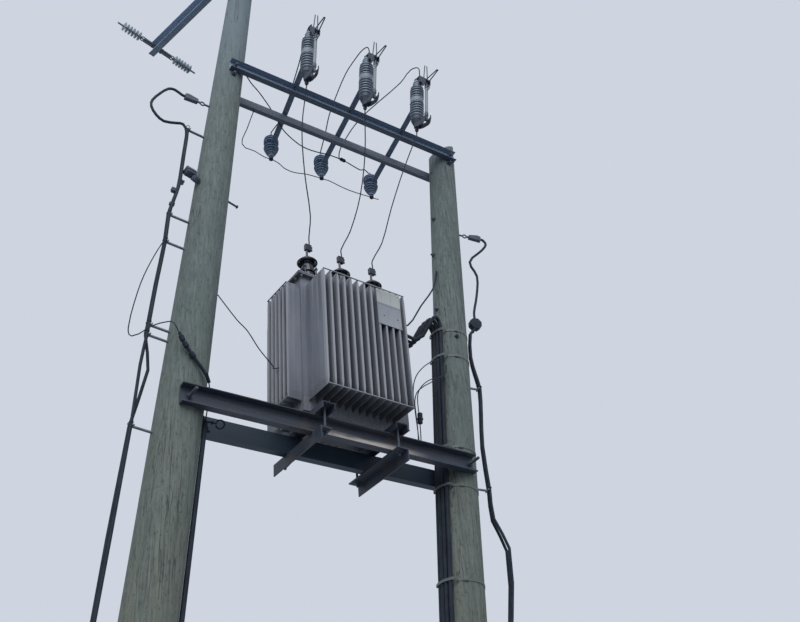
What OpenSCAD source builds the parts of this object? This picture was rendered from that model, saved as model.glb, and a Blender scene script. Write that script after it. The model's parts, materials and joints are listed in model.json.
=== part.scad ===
/* [Structure] */
// Distance between the axes of the two poles
pole_spacing = 2200; // [2100:10:2500]
// Height of the platform above the ground
platform_h = 5000; // [4500:50:5500]
// Height of the front crossarm's top above the platform
crossarm_rise = 3270; // [3100:10:3500]
// How much lower the rear crossarm's top lies than the front one's
rear_crossarm_drop = 100; // [60:5:120]
// Lean of both poles along the beams, in degrees
lean_side = 4.17; // [0:0.01:4.5]
// Lean of both poles towards the front, in degrees
lean_front = 0.85; // [0:0.01:1.5]

/* [Poles] */
// How far the left pole stands above the front crossarm's top
left_pole_rise = 1830; // [1600:10:2200]
// How far the right pole's axis reaches above the front crossarm's top
right_pole_rise = 120; // [100:10:400]
// Diameter of the left pole at the ground
left_foot_d = 380; // [340:5:420]
// Diameter of the left pole at the platform
left_platform_d = 309; // [300:1:330]
// Diameter of the left pole at the crossarms
left_crossarm_d = 236; // [230:1:250]
// Diameter of the left pole at its top
left_top_d = 196; // [180:1:215]
// Diameter of the right pole at the ground
right_foot_d = 333; // [310:5:360]
// Diameter of the right pole at the platform
right_platform_d = 290; // [284:1:310]
// Diameter of the right pole at the crossarms
right_crossarm_d = 236; // [230:1:250]
// Slope of the cut at the pole tops, in degrees
top_cut_slope = 38; // [10:1:40]
// Distance from a pole's axis to the flats cut for the platform beams
platform_seat = 140; // [130:1:141]
// Distance from a pole's axis to the flats cut for the crossarms
crossarm_seat = 112; // [100:1:114]

/* [Steelwork] */
// Length of the platform beams and the front crossarm
beam_length = 2300; // [2240:10:2400]
// How far the platform beams reach past the left pole's axis
beam_overhang = 68; // [40:1:90]
// Depth of the platform beams
beam_depth = 140; // [120:5:160]
// Width of the platform beams' flanges
beam_flange = 60; // [50:1:70]
// Thickness of the platform beams' webs
beam_web = 8; // [6:0.5:10]
// Depth of the front crossarm
front_arm_depth = 100; // [80:5:120]
// Width of the front crossarm's flanges
front_arm_flange = 50; // [40:1:60]
// Depth of the rear crossarm
rear_arm_depth = 75; // [60:5:90]
// Width of the rear crossarm's flanges
rear_arm_flange = 40; // [35:1:50]
// Length of the rear crossarm
rear_arm_length = 2280; // [2260:10:2400]
// Thickness of the crossarms' webs
crossarm_web = 6; // [5:0.5:8]
// Diameter of the through bolts
bolt_d = 20; // [16:1:24]
// Length of thread that stands past the nuts of the platform bolts
bolt_tail = 100; // [20:5:140]

/* [Skids and clamps] */
// Distance between the middle of the two skids
skid_pitch = 605; // [560:5:640]
// Length of a skid
skid_length = 650; // [620:5:720]
// Width of a skid channel
skid_width = 100; // [90:1:110]
// Height of a skid channel
skid_height = 50; // [45:1:60]
// Leg of the clamp angles under the beams
clamp_leg = 90; // [80:1:100]
// How far the left clamp angle's upright leg lies outside its hold-down rods
left_clamp_out = 65; // [50:1:70]
// How far the right clamp angle's upright leg lies outside its hold-down rods
right_clamp_out = 45; // [40:1:65]
// Thickness of the clamp angles
clamp_t = 8; // [6:0.5:10]
// Length of the clamp angles
clamp_length = 630; // [610:5:700]
// Diameter of the hold-down rods
hold_rod_d = 18; // [14:1:20]
// Distance between the front and the rear hold-down rods
hold_rod_span = 530; // [510:5:560]

/* [Transformer] */
// Place of the transformer's middle along the beams, from the left pole's axis
unit_x = 1214; // [1150:1:1300]
// Place of the transformer's middle behind the line of the poles
unit_y = 32; // [0:1:40]
// How far the transformer is turned on its platform, in degrees
unit_turn = 2.4; // [0:0.1:3]
// Length of the tank
tank_length = 800; // [760:2:820]
// Depth of the tank from front to rear
tank_depth = 320; // [300:2:340]
// Height of the tank with its top flange
tank_height = 1175; // [1105:5:1250]
// Thickness of the tank's top flange
flange_t = 10; // [8:0.5:14]
// Thickness of the cover plate
cover_t = 12; // [8:0.5:16]
// How far the top flange and the cover stand out from the tank
flange_out = 33; // [20:1:40]
// Distance between neighbouring fins on the long sides
fin_pitch = 59; // [52:1:62]
// Distance between neighbouring fins on the ends
end_fin_pitch = 54; // [48:1:56]
// Thickness of a fin
fin_t = 16; // [10:0.5:20]
// Depth of the fins on the front and the rear
long_fin_depth = 253; // [200:1:280]
// Depth of the fins on the two ends
end_fin_depth = 110; // [90:1:150]
// Height of the fins' lower edge above the platform
fin_bottom = 135; // [120:1:160]
// Height of a fin
fin_height = 1000; // [900:5:1010]
// Fins on each long side
long_fins = 13; // [9:1:13]
// Fins on each end
end_fins = 6; // [4:1:6]
// Diameter of the bars welded across the fins
fin_bar_d = 10; // [6:0.5:14]
// Width of the blank plate on the front fins
plate_w = 212; // [150:1:230]
// Height of the blank plate
plate_h = 320; // [200:1:330]

/* [Terminals] */
// Distance between neighbouring high voltage bushings
hv_pitch = 300; // [260:1:310]
// Place of the high voltage bushings in front of the tank's middle
hv_forward = 102; // [80:1:110]
// Height of a high voltage bushing above the cover
hv_height = 370; // [310:5:400]
// Diameter of a high voltage bushing's large shed
hv_shed_d = 160; // [130:1:166]
// Distance between neighbouring low voltage bushings
lv_pitch = 110; // [90:1:120]
// Place of the low voltage bushings behind the tank's middle
lv_back = 95; // [80:1:105]

/* [Cut-outs] */
// Distance between neighbouring cut-outs
cutout_pitch = 537; // [480:1:560]
// Place of the middle cut-out along the rear crossarm, from the left pole's axis at the platform
cutout_mid_x = 1364; // [1300:1:1380]
// Turn of the first bracket on the crossarms, in degrees
first_bracket_turn = -5; // [-6:0.5:6]
// Turn of the second bracket on the crossarms, in degrees
second_bracket_turn = -0.5; // [-6:0.5:6]
// Turn of the third bracket on the crossarms, in degrees
third_bracket_turn = 0; // [-4:0.5:6]
// Reach of a bracket in front of the front crossarm's back
bracket_front = 297; // [270:1:310]
// Reach of a bracket behind the rear crossarm's front
bracket_rear = 324; // [290:1:340]
// Width and height of the bracket bars
bracket_w = 50; // [40:1:60]
// Thickness of the bracket bars
bracket_t = 6; // [4:0.5:8]
// Tilt of the cut-outs, top forwards, in degrees
cutout_tilt = 9.5; // [5:0.5:20]
// Diameter of a cut-out insulator's sheds
shed_d = 126; // [116:1:136]
// Diameter of a cut-out insulator's core
core_d = 100; // [84:1:104]
// Distance from the insulator's axis to the fuse tube's axis
tube_forward = 152; // [145:1:165]
// Diameter of a fuse tube
tube_d = 28; // [22:1:32]
// Distance from the hinge pin up to the top of the fuse tube
tube_length = 398; // [360:1:400]
// Diameter of the hinge pins
hinge_pin_d = 14; // [10:1:18]
// Clearance round a hinge pin
pin_gap = 0.08; // [0.04:0.01:0.1]
// Diameter of a surge arrester's large sheds
arrester_d = 134; // [110:1:150]

/* [Cables] */
// Diameter of the high voltage jumpers
jumper_d = 10; // [8:1:14]
// Diameter of the earth wires
earth_d = 8; // [6:1:12]
// Diameter of a low voltage cable
lv_cable_d = 30; // [24:1:34]
// Diameter of a bundled service cable
service_d = 22; // [16:1:26]
// Diameter of the pipe on the left pole
pipe_d = 34; // [25:1:50]

/* [Line arm] */
// How far the line arm's top lies below the left pole's top
line_arm_drop = 400; // [300:10:600]
// Length of the line arm
line_arm_length = 2500; // [2200:10:2600]
// Turn of the line arm from the direction of the crossarms, in degrees
line_arm_turn = -76; // [-80:1:-60]

/* [Hidden] */
$fn = 48;

// Poles: a place on a pole's axis and its radius at a height above the ground
side_rate = tan(lean_side);
front_rate = tan(lean_front) / cos(lean_side);
crossarm_z = platform_h + crossarm_rise;
rear_crossarm_z = crossarm_z - rear_crossarm_drop;
left_pole_h = crossarm_z + left_pole_rise;
right_pole_h = crossarm_z + right_pole_rise;
function axis_x(z) = z * side_rate;
function axis_y(z) = -z * front_rate;
left_girth = [[0, left_foot_d / 2], [platform_h, left_platform_d / 2],
    [crossarm_z, left_crossarm_d / 2], [left_pole_h, left_top_d / 2]];
right_girth = [[0, right_foot_d / 2], [platform_h, right_platform_d / 2],
    [right_pole_h, right_crossarm_d / 2]];
function left_r(z) = lookup(z, left_girth);
function right_r(z) = lookup(z, right_girth);
foot_sink = 60;
top_spare = 250;
bolt_gap = 1;
deck_x = axis_x(platform_h);
deck_y = axis_y(platform_h);
bolt_z = platform_h - beam_depth / 2;
front_arm_y = axis_y(crossarm_z) - crossarm_seat;
rear_arm_y = axis_y(crossarm_z) + crossarm_seat;
front_arm_x = axis_x(crossarm_z) - (beam_length - pole_spacing) / 2;
rear_arm_x = axis_x(crossarm_z) - (rear_arm_length - pole_spacing) / 2;
front_bolt_z = crossarm_z - front_arm_depth / 2;
rear_bolt_z = rear_crossarm_z - rear_arm_depth / 2;

// Transformer: heights above its own origin, which is on the platform under the tank's middle
tank_z = skid_height;
cover_z = tank_z + tank_height;
lid_top = cover_z + cover_t;
fin_front = tank_depth / 2 + long_fin_depth;
fin_side = tank_length / 2 + end_fin_depth;
fin_top = fin_bottom + fin_height;
fin_tip_t = 5;
fin_taper = 60;

// Cut-outs: the bracket's line runs over both crossarms
bracket_drop = rear_crossarm_drop / (rear_arm_y + rear_arm_flange - front_arm_y);
bracket_slope = atan(bracket_drop);
band_y = front_arm_y - bracket_front;
band_z = crossarm_z + bracket_drop * bracket_front + bracket_w / 2;
collar_y = rear_arm_y + bracket_rear;
collar_z = crossarm_z - bracket_drop * (collar_y - front_arm_y) + bracket_w / 2;
band_r = core_d / 2 + 4;
band_t = 7;
band_h = 46;
hinge_z = -300;
hinge_pin_r = hinge_pin_d / 2;
cheek_in = 25;
cheek_t = 6;
contact_gap = 6;
tube_top = hinge_z + tube_length;
bracket_turns = [first_bracket_turn, second_bracket_turn, third_bracket_turn];
function cutout_x(i) = deck_x + cutout_mid_x + (i - 2) * cutout_pitch;
// A bracket turned on the crossarms lies a little higher, so that its edges clear theirs
function seat_rise(i) = let (turn = bracket_turns[i - 1])
    bracket_drop * (bracket_w / 2 * abs(sin(turn)) + (rear_arm_y - front_arm_y) * (1 - cos(turn))) + 0.05;
function from_bracket(i, p) = let (turn = bracket_turns[i - 1], y = p[1] - rear_arm_y)
    [cutout_x(i) + p[0] * cos(turn) - y * sin(turn), rear_arm_y + p[0] * sin(turn) + y * cos(turn),
        p[2] + seat_rise(i)];
function from_cutout(i, p) = from_bracket(i, [p[0],
    band_y + p[1] * cos(cutout_tilt) - p[2] * sin(cutout_tilt),
    band_z + p[1] * sin(cutout_tilt) + p[2] * cos(cutout_tilt)]);
function from_unit(p) = [deck_x + unit_x + p[0] * cos(unit_turn) - p[1] * sin(unit_turn),
    deck_y + unit_y + p[0] * sin(unit_turn) + p[1] * cos(unit_turn), platform_h + p[2]];

// Helpers
module on_unit() {
    translate([deck_x + unit_x, deck_y + unit_y, platform_h]) rotate([0, 0, unit_turn]) children();
}
module on_bracket(i) {
    translate([cutout_x(i), rear_arm_y, seat_rise(i)]) rotate([0, 0, bracket_turns[i - 1]])
        translate([0, -rear_arm_y, 0]) children();
}
module on_cutout(i) {
    on_bracket(i) translate([0, band_y, band_z]) rotate([cutout_tilt, 0, 0]) children();
}
// A round bar from one point to another
module bar(p, q, d) {
    v = q - p;
    len = norm(v);
    translate(p) rotate([0, acos(v[2] / len), atan2(v[1], v[0])]) cylinder(h = len, d = d);
}
// A cord: rings square to a smooth route through the points, joined side to side
function unit(v) = v / norm(v);
function heading(p, i) = unit(p[min(i + 1, len(p) - 1)] - p[max(i - 1, 0)]);
function curve(p, n) = concat([for (i = [0:len(p) - 2])
    let (b = p[i], c = p[i + 1], reach = norm(c - b),
        u = heading(p, i) * reach, v = heading(p, i + 1) * reach)
        for (k = [0:n - 1]) let (t = k / n, w = t * t * (3 - 2 * t))
            b * (1 - w) + c * w + u * t * (1 - t) * (1 - t) - v * t * t * (1 - t)],
    [p[len(p) - 1]]);
function headings(p) = [for (i = [0:len(p) - 1]) heading(p, i)];
function across(t) = unit(cross(t, abs(t[2]) > 0.9 ? [1, 0, 0] : [0, 0, 1]));
function sides_of(t) = [for (i = 0, u = across(t[0]); i < len(t);
    i = i + 1, u = i < len(t) ? unit(u - (u * t[i]) * t[i]) : u) u];
module cord(route, d, sides = 8) {
    dirs = headings(route);
    us = sides_of(dirs);
    count = len(route);
    rings = [for (i = [0:count - 1]) let (v = cross(dirs[i], us[i])) for (k = [0:sides - 1])
        route[i] + d / 2 * (cos(360 * k / sides) * us[i] + sin(360 * k / sides) * v)];
    walls = [for (i = [0:count - 2]) for (k = [0:sides - 1]) let (j = (k + 1) % sides)
        [i * sides + k, (i + 1) * sides + k, (i + 1) * sides + j, i * sides + j]];
    polyhedron(points = rings, convexity = 6, faces = concat([[for (k = [0:sides - 1]) k]], walls,
        [[for (k = [sides - 1:-1:0]) (count - 1) * sides + k]]));
}
// A rolled channel along X, its web's back on y = 0, its top on z = 0 and its flanges towards -Y
module channel(length, depth, flange, web) {
    toe = web * 0.85;
    root = web * 1.4;
    rotate([90, 0, 90]) linear_extrude(length)
        polygon([[0, 0], [-flange, 0], [-flange, -toe], [-web, -root], [-web, root - depth],
            [-flange, toe - depth], [-flange, -depth], [0, -depth]]);
}
module y_bore(x, z, d) {
    translate([x, 0, z]) rotate([90, 0, 0]) cylinder(h = 2000, d = d, center = true);
}

// Poles
module pole_round(girth) {
    top = girth[len(girth) - 1];
    rotate([lean_front, lean_side, 0]) rotate_extrude($fn = 64)
        polygon(concat([[0, -foot_sink], [girth[0][1], -foot_sink]], [for (g = girth) [g[1], g[0]]],
            [[top[1], top[0] + top_spare], [0, top[0] + top_spare]]));
}
module pole_timber(girth, h, low_side) {
    difference() {
        pole_round(girth);
        rotate([lean_front, lean_side, 0]) translate([0, 0, h]) rotate([0, low_side * top_cut_slope, 0])
            translate([-1000, -1000, 0]) cube([2000, 2000, 1000]);
        translate([-1500, -1500, -3000]) cube([3000, 3000, 3000]);
    }
}
module flats(z_top, depth, seat, side) {
    translate([axis_x(z_top) - 300, axis_y(z_top) + (side > 0 ? seat : -seat - 200), z_top - depth])
        cube([600, 200, depth]);
}
module pole_flats() {
    for (side = [-1, 1]) flats(platform_h, beam_depth, platform_seat, side);
    for (side = [-1, 1]) flats(crossarm_z, rear_crossarm_drop + rear_arm_depth, crossarm_seat, side);
}
module pole_bores() {
    for (z = [bolt_z, front_bolt_z, rear_bolt_z]) y_bore(axis_x(z), z, bolt_d + 2 * bolt_gap);
}
module left_pole() {
    color("DarkSeaGreen") difference() {
        pole_timber(left_girth, left_pole_h, 1);
        pole_flats();
        pole_bores();
        on_line_arm() translate([-300, -line_arm_seat - 200, 0]) cube([600, 200, line_arm_depth]);
        on_line_arm() y_bore(0, line_arm_depth / 2, bolt_d + 2 * bolt_gap);
    }
}
module right_pole() {
    color("DarkSeaGreen") difference() {
        translate([pole_spacing, 0, 0]) pole_timber(right_girth, right_pole_h, -1);
        translate([pole_spacing, 0, 0]) pole_flats();
        translate([pole_spacing, 0, 0]) pole_bores();
    }
}

// Platform
beam_x = deck_x - beam_overhang;
module beam_bores() {
    for (x = [0, pole_spacing]) y_bore(axis_x(bolt_z) + x, bolt_z, bolt_d + 2 * bolt_gap);
}
module front_platform_beam() {
    color("DimGray") difference() {
        translate([beam_x, deck_y - platform_seat, platform_h])
            channel(beam_length, beam_depth, beam_flange, beam_web);
        beam_bores();
    }
}
module rear_platform_beam() {
    color("DimGray") difference() {
        translate([beam_x, deck_y + platform_seat, platform_h]) mirror([0, 1, 0])
            channel(beam_length, beam_depth, beam_flange, beam_web);
        beam_bores();
    }
}
// A through bolt along Y with a washer and a nut outside each web
module through_bolt(y_front, y_rear, tail) {
    washer_t = 4;
    nut_t = bolt_d * 0.8;
    translate([0, y_front - washer_t - nut_t - tail, 0]) rotate([-90, 0, 0])
        cylinder(h = y_rear - y_front + 2 * washer_t + 2 * nut_t + tail + 5, d = bolt_d);
    translate([0, y_front, 0]) rotate([90, 0, 0]) {
        cylinder(h = washer_t, d = bolt_d * 2.2);
        translate([0, 0, washer_t]) cylinder(h = nut_t, d = bolt_d * 1.7, $fn = 6);
    }
    translate([0, y_rear, 0]) rotate([-90, 0, 0]) {
        cylinder(h = washer_t, d = bolt_d * 2.2);
        translate([0, 0, washer_t]) cylinder(h = nut_t, d = bolt_d * 1.7, $fn = 6);
    }
}
module platform_bolts() {
    color("Silver") for (x = [0, pole_spacing])
        translate([axis_x(bolt_z) + x, 0, bolt_z])
            through_bolt(deck_y - platform_seat - beam_web, deck_y + platform_seat + beam_web, bolt_tail);
}

// Skids, clamp angles and hold-down rods, in the transformer's own frame
rod_y = hold_rod_span / 2;
skid_web = 7;
module skid(side) {
    half = skid_width / 2;
    toe = 5;
    on_unit() difference() {
        translate([side * skid_pitch / 2, skid_length / 2, 0]) rotate([90, 0, 0]) linear_extrude(skid_length)
            polygon([[-half, 0], [-half, skid_height], [half, skid_height], [half, 0], [half - toe, 0],
                [half - skid_web, skid_height - skid_web], [skid_web - half, skid_height - skid_web],
                [toe - half, 0]]);
        for (y = [-rod_y, rod_y]) translate([side * skid_pitch / 2, y, 0])
            cylinder(h = skid_height * 2, d = hold_rod_d + 2 * bolt_gap);
    }
}
module left_skid() {
    color("SlateGray") skid(-1);
}
module right_skid() {
    color("SlateGray") skid(1);
}
module clamp_angle(side, out) {
    on_unit() difference() {
        translate([side * (skid_pitch / 2 + out), clamp_length / 2, -beam_depth])
            rotate([90, 0, 0]) linear_extrude(clamp_length)
                polygon([[0, 0], [-side * clamp_leg, 0], [-side * clamp_leg, -clamp_t],
                    [-side * clamp_t, -clamp_t], [-side * clamp_t, -clamp_leg], [0, -clamp_leg]]);
        for (y = [-rod_y, rod_y]) translate([side * skid_pitch / 2, y, -beam_depth - 50])
            cylinder(h = 100, d = hold_rod_d + 2 * bolt_gap);
    }
}
module left_clamp_angle() {
    color("DimGray") clamp_angle(-1, left_clamp_out);
}
module right_clamp_angle() {
    color("DimGray") clamp_angle(1, right_clamp_out);
}
module hold_down_rods() {
    nut_t = hold_rod_d * 0.8;
    low = -beam_depth - clamp_t;
    color("Gray") on_unit() for (x = [-skid_pitch / 2, skid_pitch / 2]) for (y = [-rod_y, rod_y])
        translate([x, y, 0]) {
            translate([0, 0, low - nut_t - 20])
                cylinder(h = skid_height + nut_t - low + nut_t + 30, d = hold_rod_d);
            translate([0, 0, low - nut_t]) cylinder(h = nut_t, d = hold_rod_d * 1.8, $fn = 6);
            translate([0, 0, skid_height]) cylinder(h = nut_t, d = hold_rod_d * 1.8, $fn = 6);
        }
}

// Transformer
module tank_body() {
    color("LightSlateGray") on_unit() {
        translate([-tank_length / 2, -tank_depth / 2, tank_z])
            cube([tank_length, tank_depth, tank_height]);
        translate([-tank_length / 2 - flange_out, -tank_depth / 2 - flange_out, cover_z - flange_t])
            cube([tank_length + 2 * flange_out, tank_depth + 2 * flange_out, flange_t]);
    }
}
module tank_cover() {
    color("LightSlateGray") on_unit()
        translate([-tank_length / 2 - flange_out, -tank_depth / 2 - flange_out, cover_z])
            cube([tank_length + 2 * flange_out, tank_depth + 2 * flange_out, cover_t]);
}
// A row of fins that stand out along -Y from y = 0, with a bar across their edges at both ends
module fin_row(count, pitch, depth) {
    row = (count - 1) * pitch;
    half = fin_t / 2;
    tip = fin_tip_t / 2;
    for (i = [0:count - 1]) translate([i * pitch - row / 2, 0, fin_bottom])
        rotate([90, 0, 0]) linear_extrude(depth)
            polygon([[-tip, 0], [tip, 0], [half, fin_taper], [half, fin_height - fin_taper],
                [tip, fin_height], [-tip, fin_height], [-half, fin_height - fin_taper], [-half, fin_taper]]);
    for (z = [fin_bottom + fin_bar_d / 2, fin_top - fin_bar_d / 2])
        translate([-row / 2 - fin_bar_d / 2, -depth, z]) rotate([0, 90, 0])
            cylinder(h = row + fin_bar_d, d = fin_bar_d);
}
module front_fins() {
    color("LightSlateGray") on_unit() translate([0, -tank_depth / 2, 0])
        fin_row(long_fins, fin_pitch, long_fin_depth);
}
module rear_fins() {
    color("LightSlateGray") on_unit() rotate([0, 0, 180]) translate([0, -tank_depth / 2, 0])
        fin_row(long_fins, fin_pitch, long_fin_depth);
}
module left_fins() {
    color("LightSlateGray") on_unit() rotate([0, 0, -90]) translate([0, -tank_length / 2, 0])
        fin_row(end_fins, end_fin_pitch, end_fin_depth);
}
module right_fins() {
    color("LightSlateGray") on_unit() rotate([0, 0, 90]) translate([0, -tank_length / 2, 0])
        fin_row(end_fins, end_fin_pitch, end_fin_depth);
}
module blank_plate() {
    plate_t = 3;
    color("Gainsboro") on_unit() translate([104, -fin_front - plate_t, fin_top - fin_bar_d - 10 - plate_h])
        cube([plate_w, plate_t, plate_h]);
}
// A bushing with a clamp ring on a short neck, one wide shed with a domed top, and a clamp for the jumper
module hv_bushing(i) {
    s = hv_shed_d / 2;
    z = hv_height - 195;
    color("SaddleBrown") on_unit() translate([(i - 2) * hv_pitch, -hv_forward, lid_top]) {
        rotate_extrude() polygon([[0, 0], [56, 0], [56, 12], [50, 16], [50, z - 105], [62, z - 103],
            [62, z - 78], [48, z - 72], [44, z - 10], [50, z + 6], [s - 8, z - 6], [s, z], [s, z + 5],
            [s - 6, z + 12], [58, z + 28], [38, z + 48], [22, z + 62], [14, z + 68], [9, z + 70],
            [9, hv_height - 20], [0, hv_height - 20]]);
        translate([-16, -15, hv_height - 62]) cube([52, 30, 56]);
        for (bolt_z = [hv_height - 48, hv_height - 22]) translate([36, 0, bolt_z]) rotate([0, 90, 0])
            cylinder(h = 12, r = 9, $fn = 6);
    }
}
module lv_bushings() {
    color("SaddleBrown") on_unit() for (i = [0:3]) translate([(i - 1.5) * lv_pitch, lv_back, lid_top])
        rotate_extrude() polygon([[0, 0], [36, 0], [36, 14], [24, 20], [24, 50], [38, 58], [38, 64],
            [24, 72], [22, 90], [12, 94], [12, 150], [0, 150]]);
}

// Crossarms
module front_crossarm() {
    color("SlateGray") difference() {
        translate([front_arm_x, front_arm_y, crossarm_z])
            channel(beam_length, front_arm_depth, front_arm_flange, crossarm_web);
        for (x = [0, pole_spacing]) y_bore(axis_x(front_bolt_z) + x, front_bolt_z, bolt_d + 2 * bolt_gap);
    }
}
module rear_crossarm() {
    color("SlateGray") difference() {
        translate([rear_arm_x, rear_arm_y, rear_crossarm_z]) mirror([0, 1, 0])
            channel(rear_arm_length, rear_arm_depth, rear_arm_flange, crossarm_web);
        for (x = [0, pole_spacing]) y_bore(axis_x(rear_bolt_z) + x, rear_bolt_z, bolt_d + 2 * bolt_gap);
    }
}
module crossarm_bolts() {
    color("Silver") for (x = [0, pole_spacing]) {
        translate([axis_x(front_bolt_z) + x, 0, front_bolt_z])
            through_bolt(front_arm_y - crossarm_web, rear_arm_y, 30);
        translate([axis_x(rear_bolt_z) + x, 0, rear_bolt_z])
            through_bolt(front_arm_y, rear_arm_y + crossarm_web, 15);
    }
}

// Brackets: an inclined angle over both crossarms, with a band round the insulator at its front end
arrester_r = 33.7;
module cutout_bracket(i) {
    reach = (collar_y - band_y) / cos(bracket_slope);
    clear = shed_d / 2 + 5;
    lug_side = bracket_w / 2 - bracket_t - 2;
    color("SlateGray") difference() {
        union() {
            on_bracket(i) translate([0, band_y, band_z - bracket_w / 2]) rotate([-bracket_slope, 0, 0]) {
                translate([-bracket_w / 2, 0, 0]) cube([bracket_w, reach, bracket_t]);
                translate([bracket_w / 2 - bracket_t, 0, 0]) cube([bracket_t, reach, bracket_w]);
            }
            on_cutout(i) cylinder(h = band_h, r = band_r + band_t, center = true);
            on_cutout(i) translate([-lug_side, 0, -20]) cube([2 * lug_side + 5, clear + 2, 40]);
        }
        on_cutout(i) cylinder(h = 3 * band_h, r = band_r, center = true);
        for (z = [band_h / 2 + 2, -band_h / 2 - 202])
            on_cutout(i) translate([0, 0, z]) cylinder(h = 200, r = clear);
        on_bracket(i) translate([0, collar_y, collar_z]) {
            cylinder(h = 300, r = arrester_r + 0.2, center = true);
            for (z = [19, -219]) translate([0, 0, z]) cylinder(h = 200, r = arrester_d / 2 + 4);
            translate([-200, 0, -200]) cube([400, 200, 400]);
        }
    }
}

// Cut-outs, in their own tilted frame: Z along the insulator and -Y forwards
insulator_top = 236;
insulator_foot = -190;
rib_pitch = 28;
function rib(z, r) = [[core_d / 2, z - 10], [r, z - 4], [r, z + 3], [core_d / 2, z + 10]];
module cutout_insulator(i) {
    r = shed_d / 2;
    half = band_h / 2 + 1;
    color("Gray") on_cutout(i) rotate_extrude() polygon(concat([[0, insulator_foot], [46, insulator_foot]],
        [for (k = [5:-1:0]) each rib(-34 - k * rib_pitch, k == 5 ? r * 0.94 : r)],
        [[band_r, -half + 1], [band_r, half - 1]],
        [for (k = [0:4]) each rib(34 + k * rib_pitch, k == 4 ? r * 0.94 : r)],
        [[38, 164], [38, 176], [42, 180], [38, 186], [34, 204], [38, 208], [34, 214],
            [28, insulator_top], [0, insulator_top]]));
}
// The upper casting: a cap, a sloping arm with a leg behind it, a hood over the tube's end and three horns
module cutout_top_contact(i) {
    y = -tube_forward;
    cap_z = insulator_top + 22;
    hood_z = tube_top + 24;
    color("DarkSlateGray") on_cutout(i) {
        translate([0, 0, insulator_top]) cylinder(h = cap_z - insulator_top, r = 24);
        translate([-18, 0, 0]) rotate([90, 0, 90]) linear_extrude(36)
            polygon([[20, cap_z - 10], [20, cap_z], [-66, cap_z], [y - 24, hood_z + 12], [y - 24, hood_z],
                [y + 26, hood_z], [-62, 196], [-62, 160], [-52, 160], [-52, cap_z - 10]]);
        translate([0, -42, cap_z]) cylinder(h = 14, r = 11, $fn = 6);
        translate([-29, y - 26, hood_z - 2]) cube([58, 52, 12]);
        for (x = [-29, 23]) translate([x, y - 24, hood_z - 44]) cube([6, 48, 46]);
        translate([-11, y - 14, tube_top + contact_gap]) cube([22, 28, hood_z - tube_top - contact_gap]);
        for (x = [-1, 1]) bar([x * 22, y + 14, hood_z + 4], [x * 11, y + 8, hood_z + 196], 9);
        for (x = [-1, 1]) bar([x * 19, y - 10, hood_z + 4], [x * 5, y - 172, hood_z + 14], 10);
        translate([0, y - 172, hood_z + 14]) rotate([0, 90, 0]) cylinder(h = 16, r = 6.5, center = true);
    }
}
// The lower casting: a cup that narrows to the terminal, and two cheeks with upturned noses for the hinge pin
module cutout_hinge(i) {
    y = -tube_forward;
    z = hinge_z;
    color("DarkSlateGray") on_cutout(i) {
        rotate_extrude() polygon([[0, insulator_foot], [53, insulator_foot], [53, insulator_foot - 32],
            [26, -282], [26, -296], [12, -300], [12, -340], [0, -340]]);
        translate([0, 0, -328]) cylinder(h = 22, r = 19, $fn = 6);
        translate([-cheek_in - 1, -60, -288]) cube([2 * cheek_in + 2, 60, 34]);
        difference() {
            for (x = [-cheek_in - cheek_t, cheek_in]) translate([x, 0, 0]) rotate([90, 0, 90])
                linear_extrude(cheek_t) polygon([[0, -248], [0, -300], [-56, -326], [y + 12, z - 48],
                    [y - 16, z - 40], [y - 30, z], [y - 28, z + 38], [y - 20, z + 38], [y - 16, z + 16],
                    [y + 16, z + 16], [-100, -296], [-50, -270]]);
            translate([0, y, z]) rotate([0, 90, 0])
                cylinder(h = 100, r = hinge_pin_r + pin_gap, center = true);
        }
    }
}
module fuse_tube(i) {
    r = tube_d / 2;
    h = tube_length;
    color("DarkGray") on_cutout(i) translate([0, -tube_forward, hinge_z]) {
        rotate_extrude() polygon([[0, 28], [15, 28], [r + 4, 34], [r + 4, 66], [r + 1, 72], [r, 74], [r, h - 56],
            [r + 3, h - 52], [r + 3, h - 14], [13, h - 10], [13, h], [0, h]]);
        translate([-10, -12, -20]) cube([20, 24, 56]);
        rotate([0, 90, 0]) cylinder(h = 2 * (cheek_in + cheek_t), r = hinge_pin_r, center = true);
        translate([0, -r - 18, h - 64]) rotate([0, 90, 0])
            rotate_extrude() translate([19, 0]) circle(r = 4.5);
    }
}
function disc(z, r) = [[32, z - 7], [r, z - 4], [r, z + 1], [32, z + 7]];
module surge_arrester(i) {
    r = arrester_d / 2;
    color("Indigo") on_bracket(i) translate([0, collar_y, collar_z]) rotate_extrude()
        polygon(concat([[0, -160], [9, -160], [9, -142], [22, -134], [25, -114], [32, -110]],
            disc(-96, r * 0.62), disc(-73, r * 0.78), disc(-50, r * 0.92), disc(-29, r),
            [[arrester_r, -20], [arrester_r, 20]], disc(31, r), disc(55, r), disc(79, r * 0.94),
            [[30, 92], [28, 108], [10, 112], [10, 150], [0, 150]]));
}

// Wires and cables
function bushing_clamp(i) = from_unit([(i - 2) * hv_pitch + 24, -hv_forward, lid_top + hv_height - 6]);
function cutout_foot(i) = from_cutout(i, [0, 0, -340.4]);
function cutout_terminal(i) = from_cutout(i, [0, -42, insulator_top + 36.5]);
function arrester_top(i) = from_bracket(i, [0, collar_y, collar_z + 150]);
function arrester_foot(i) = from_bracket(i, [0, collar_y, collar_z - 160 - earth_d / 2]);
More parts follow.
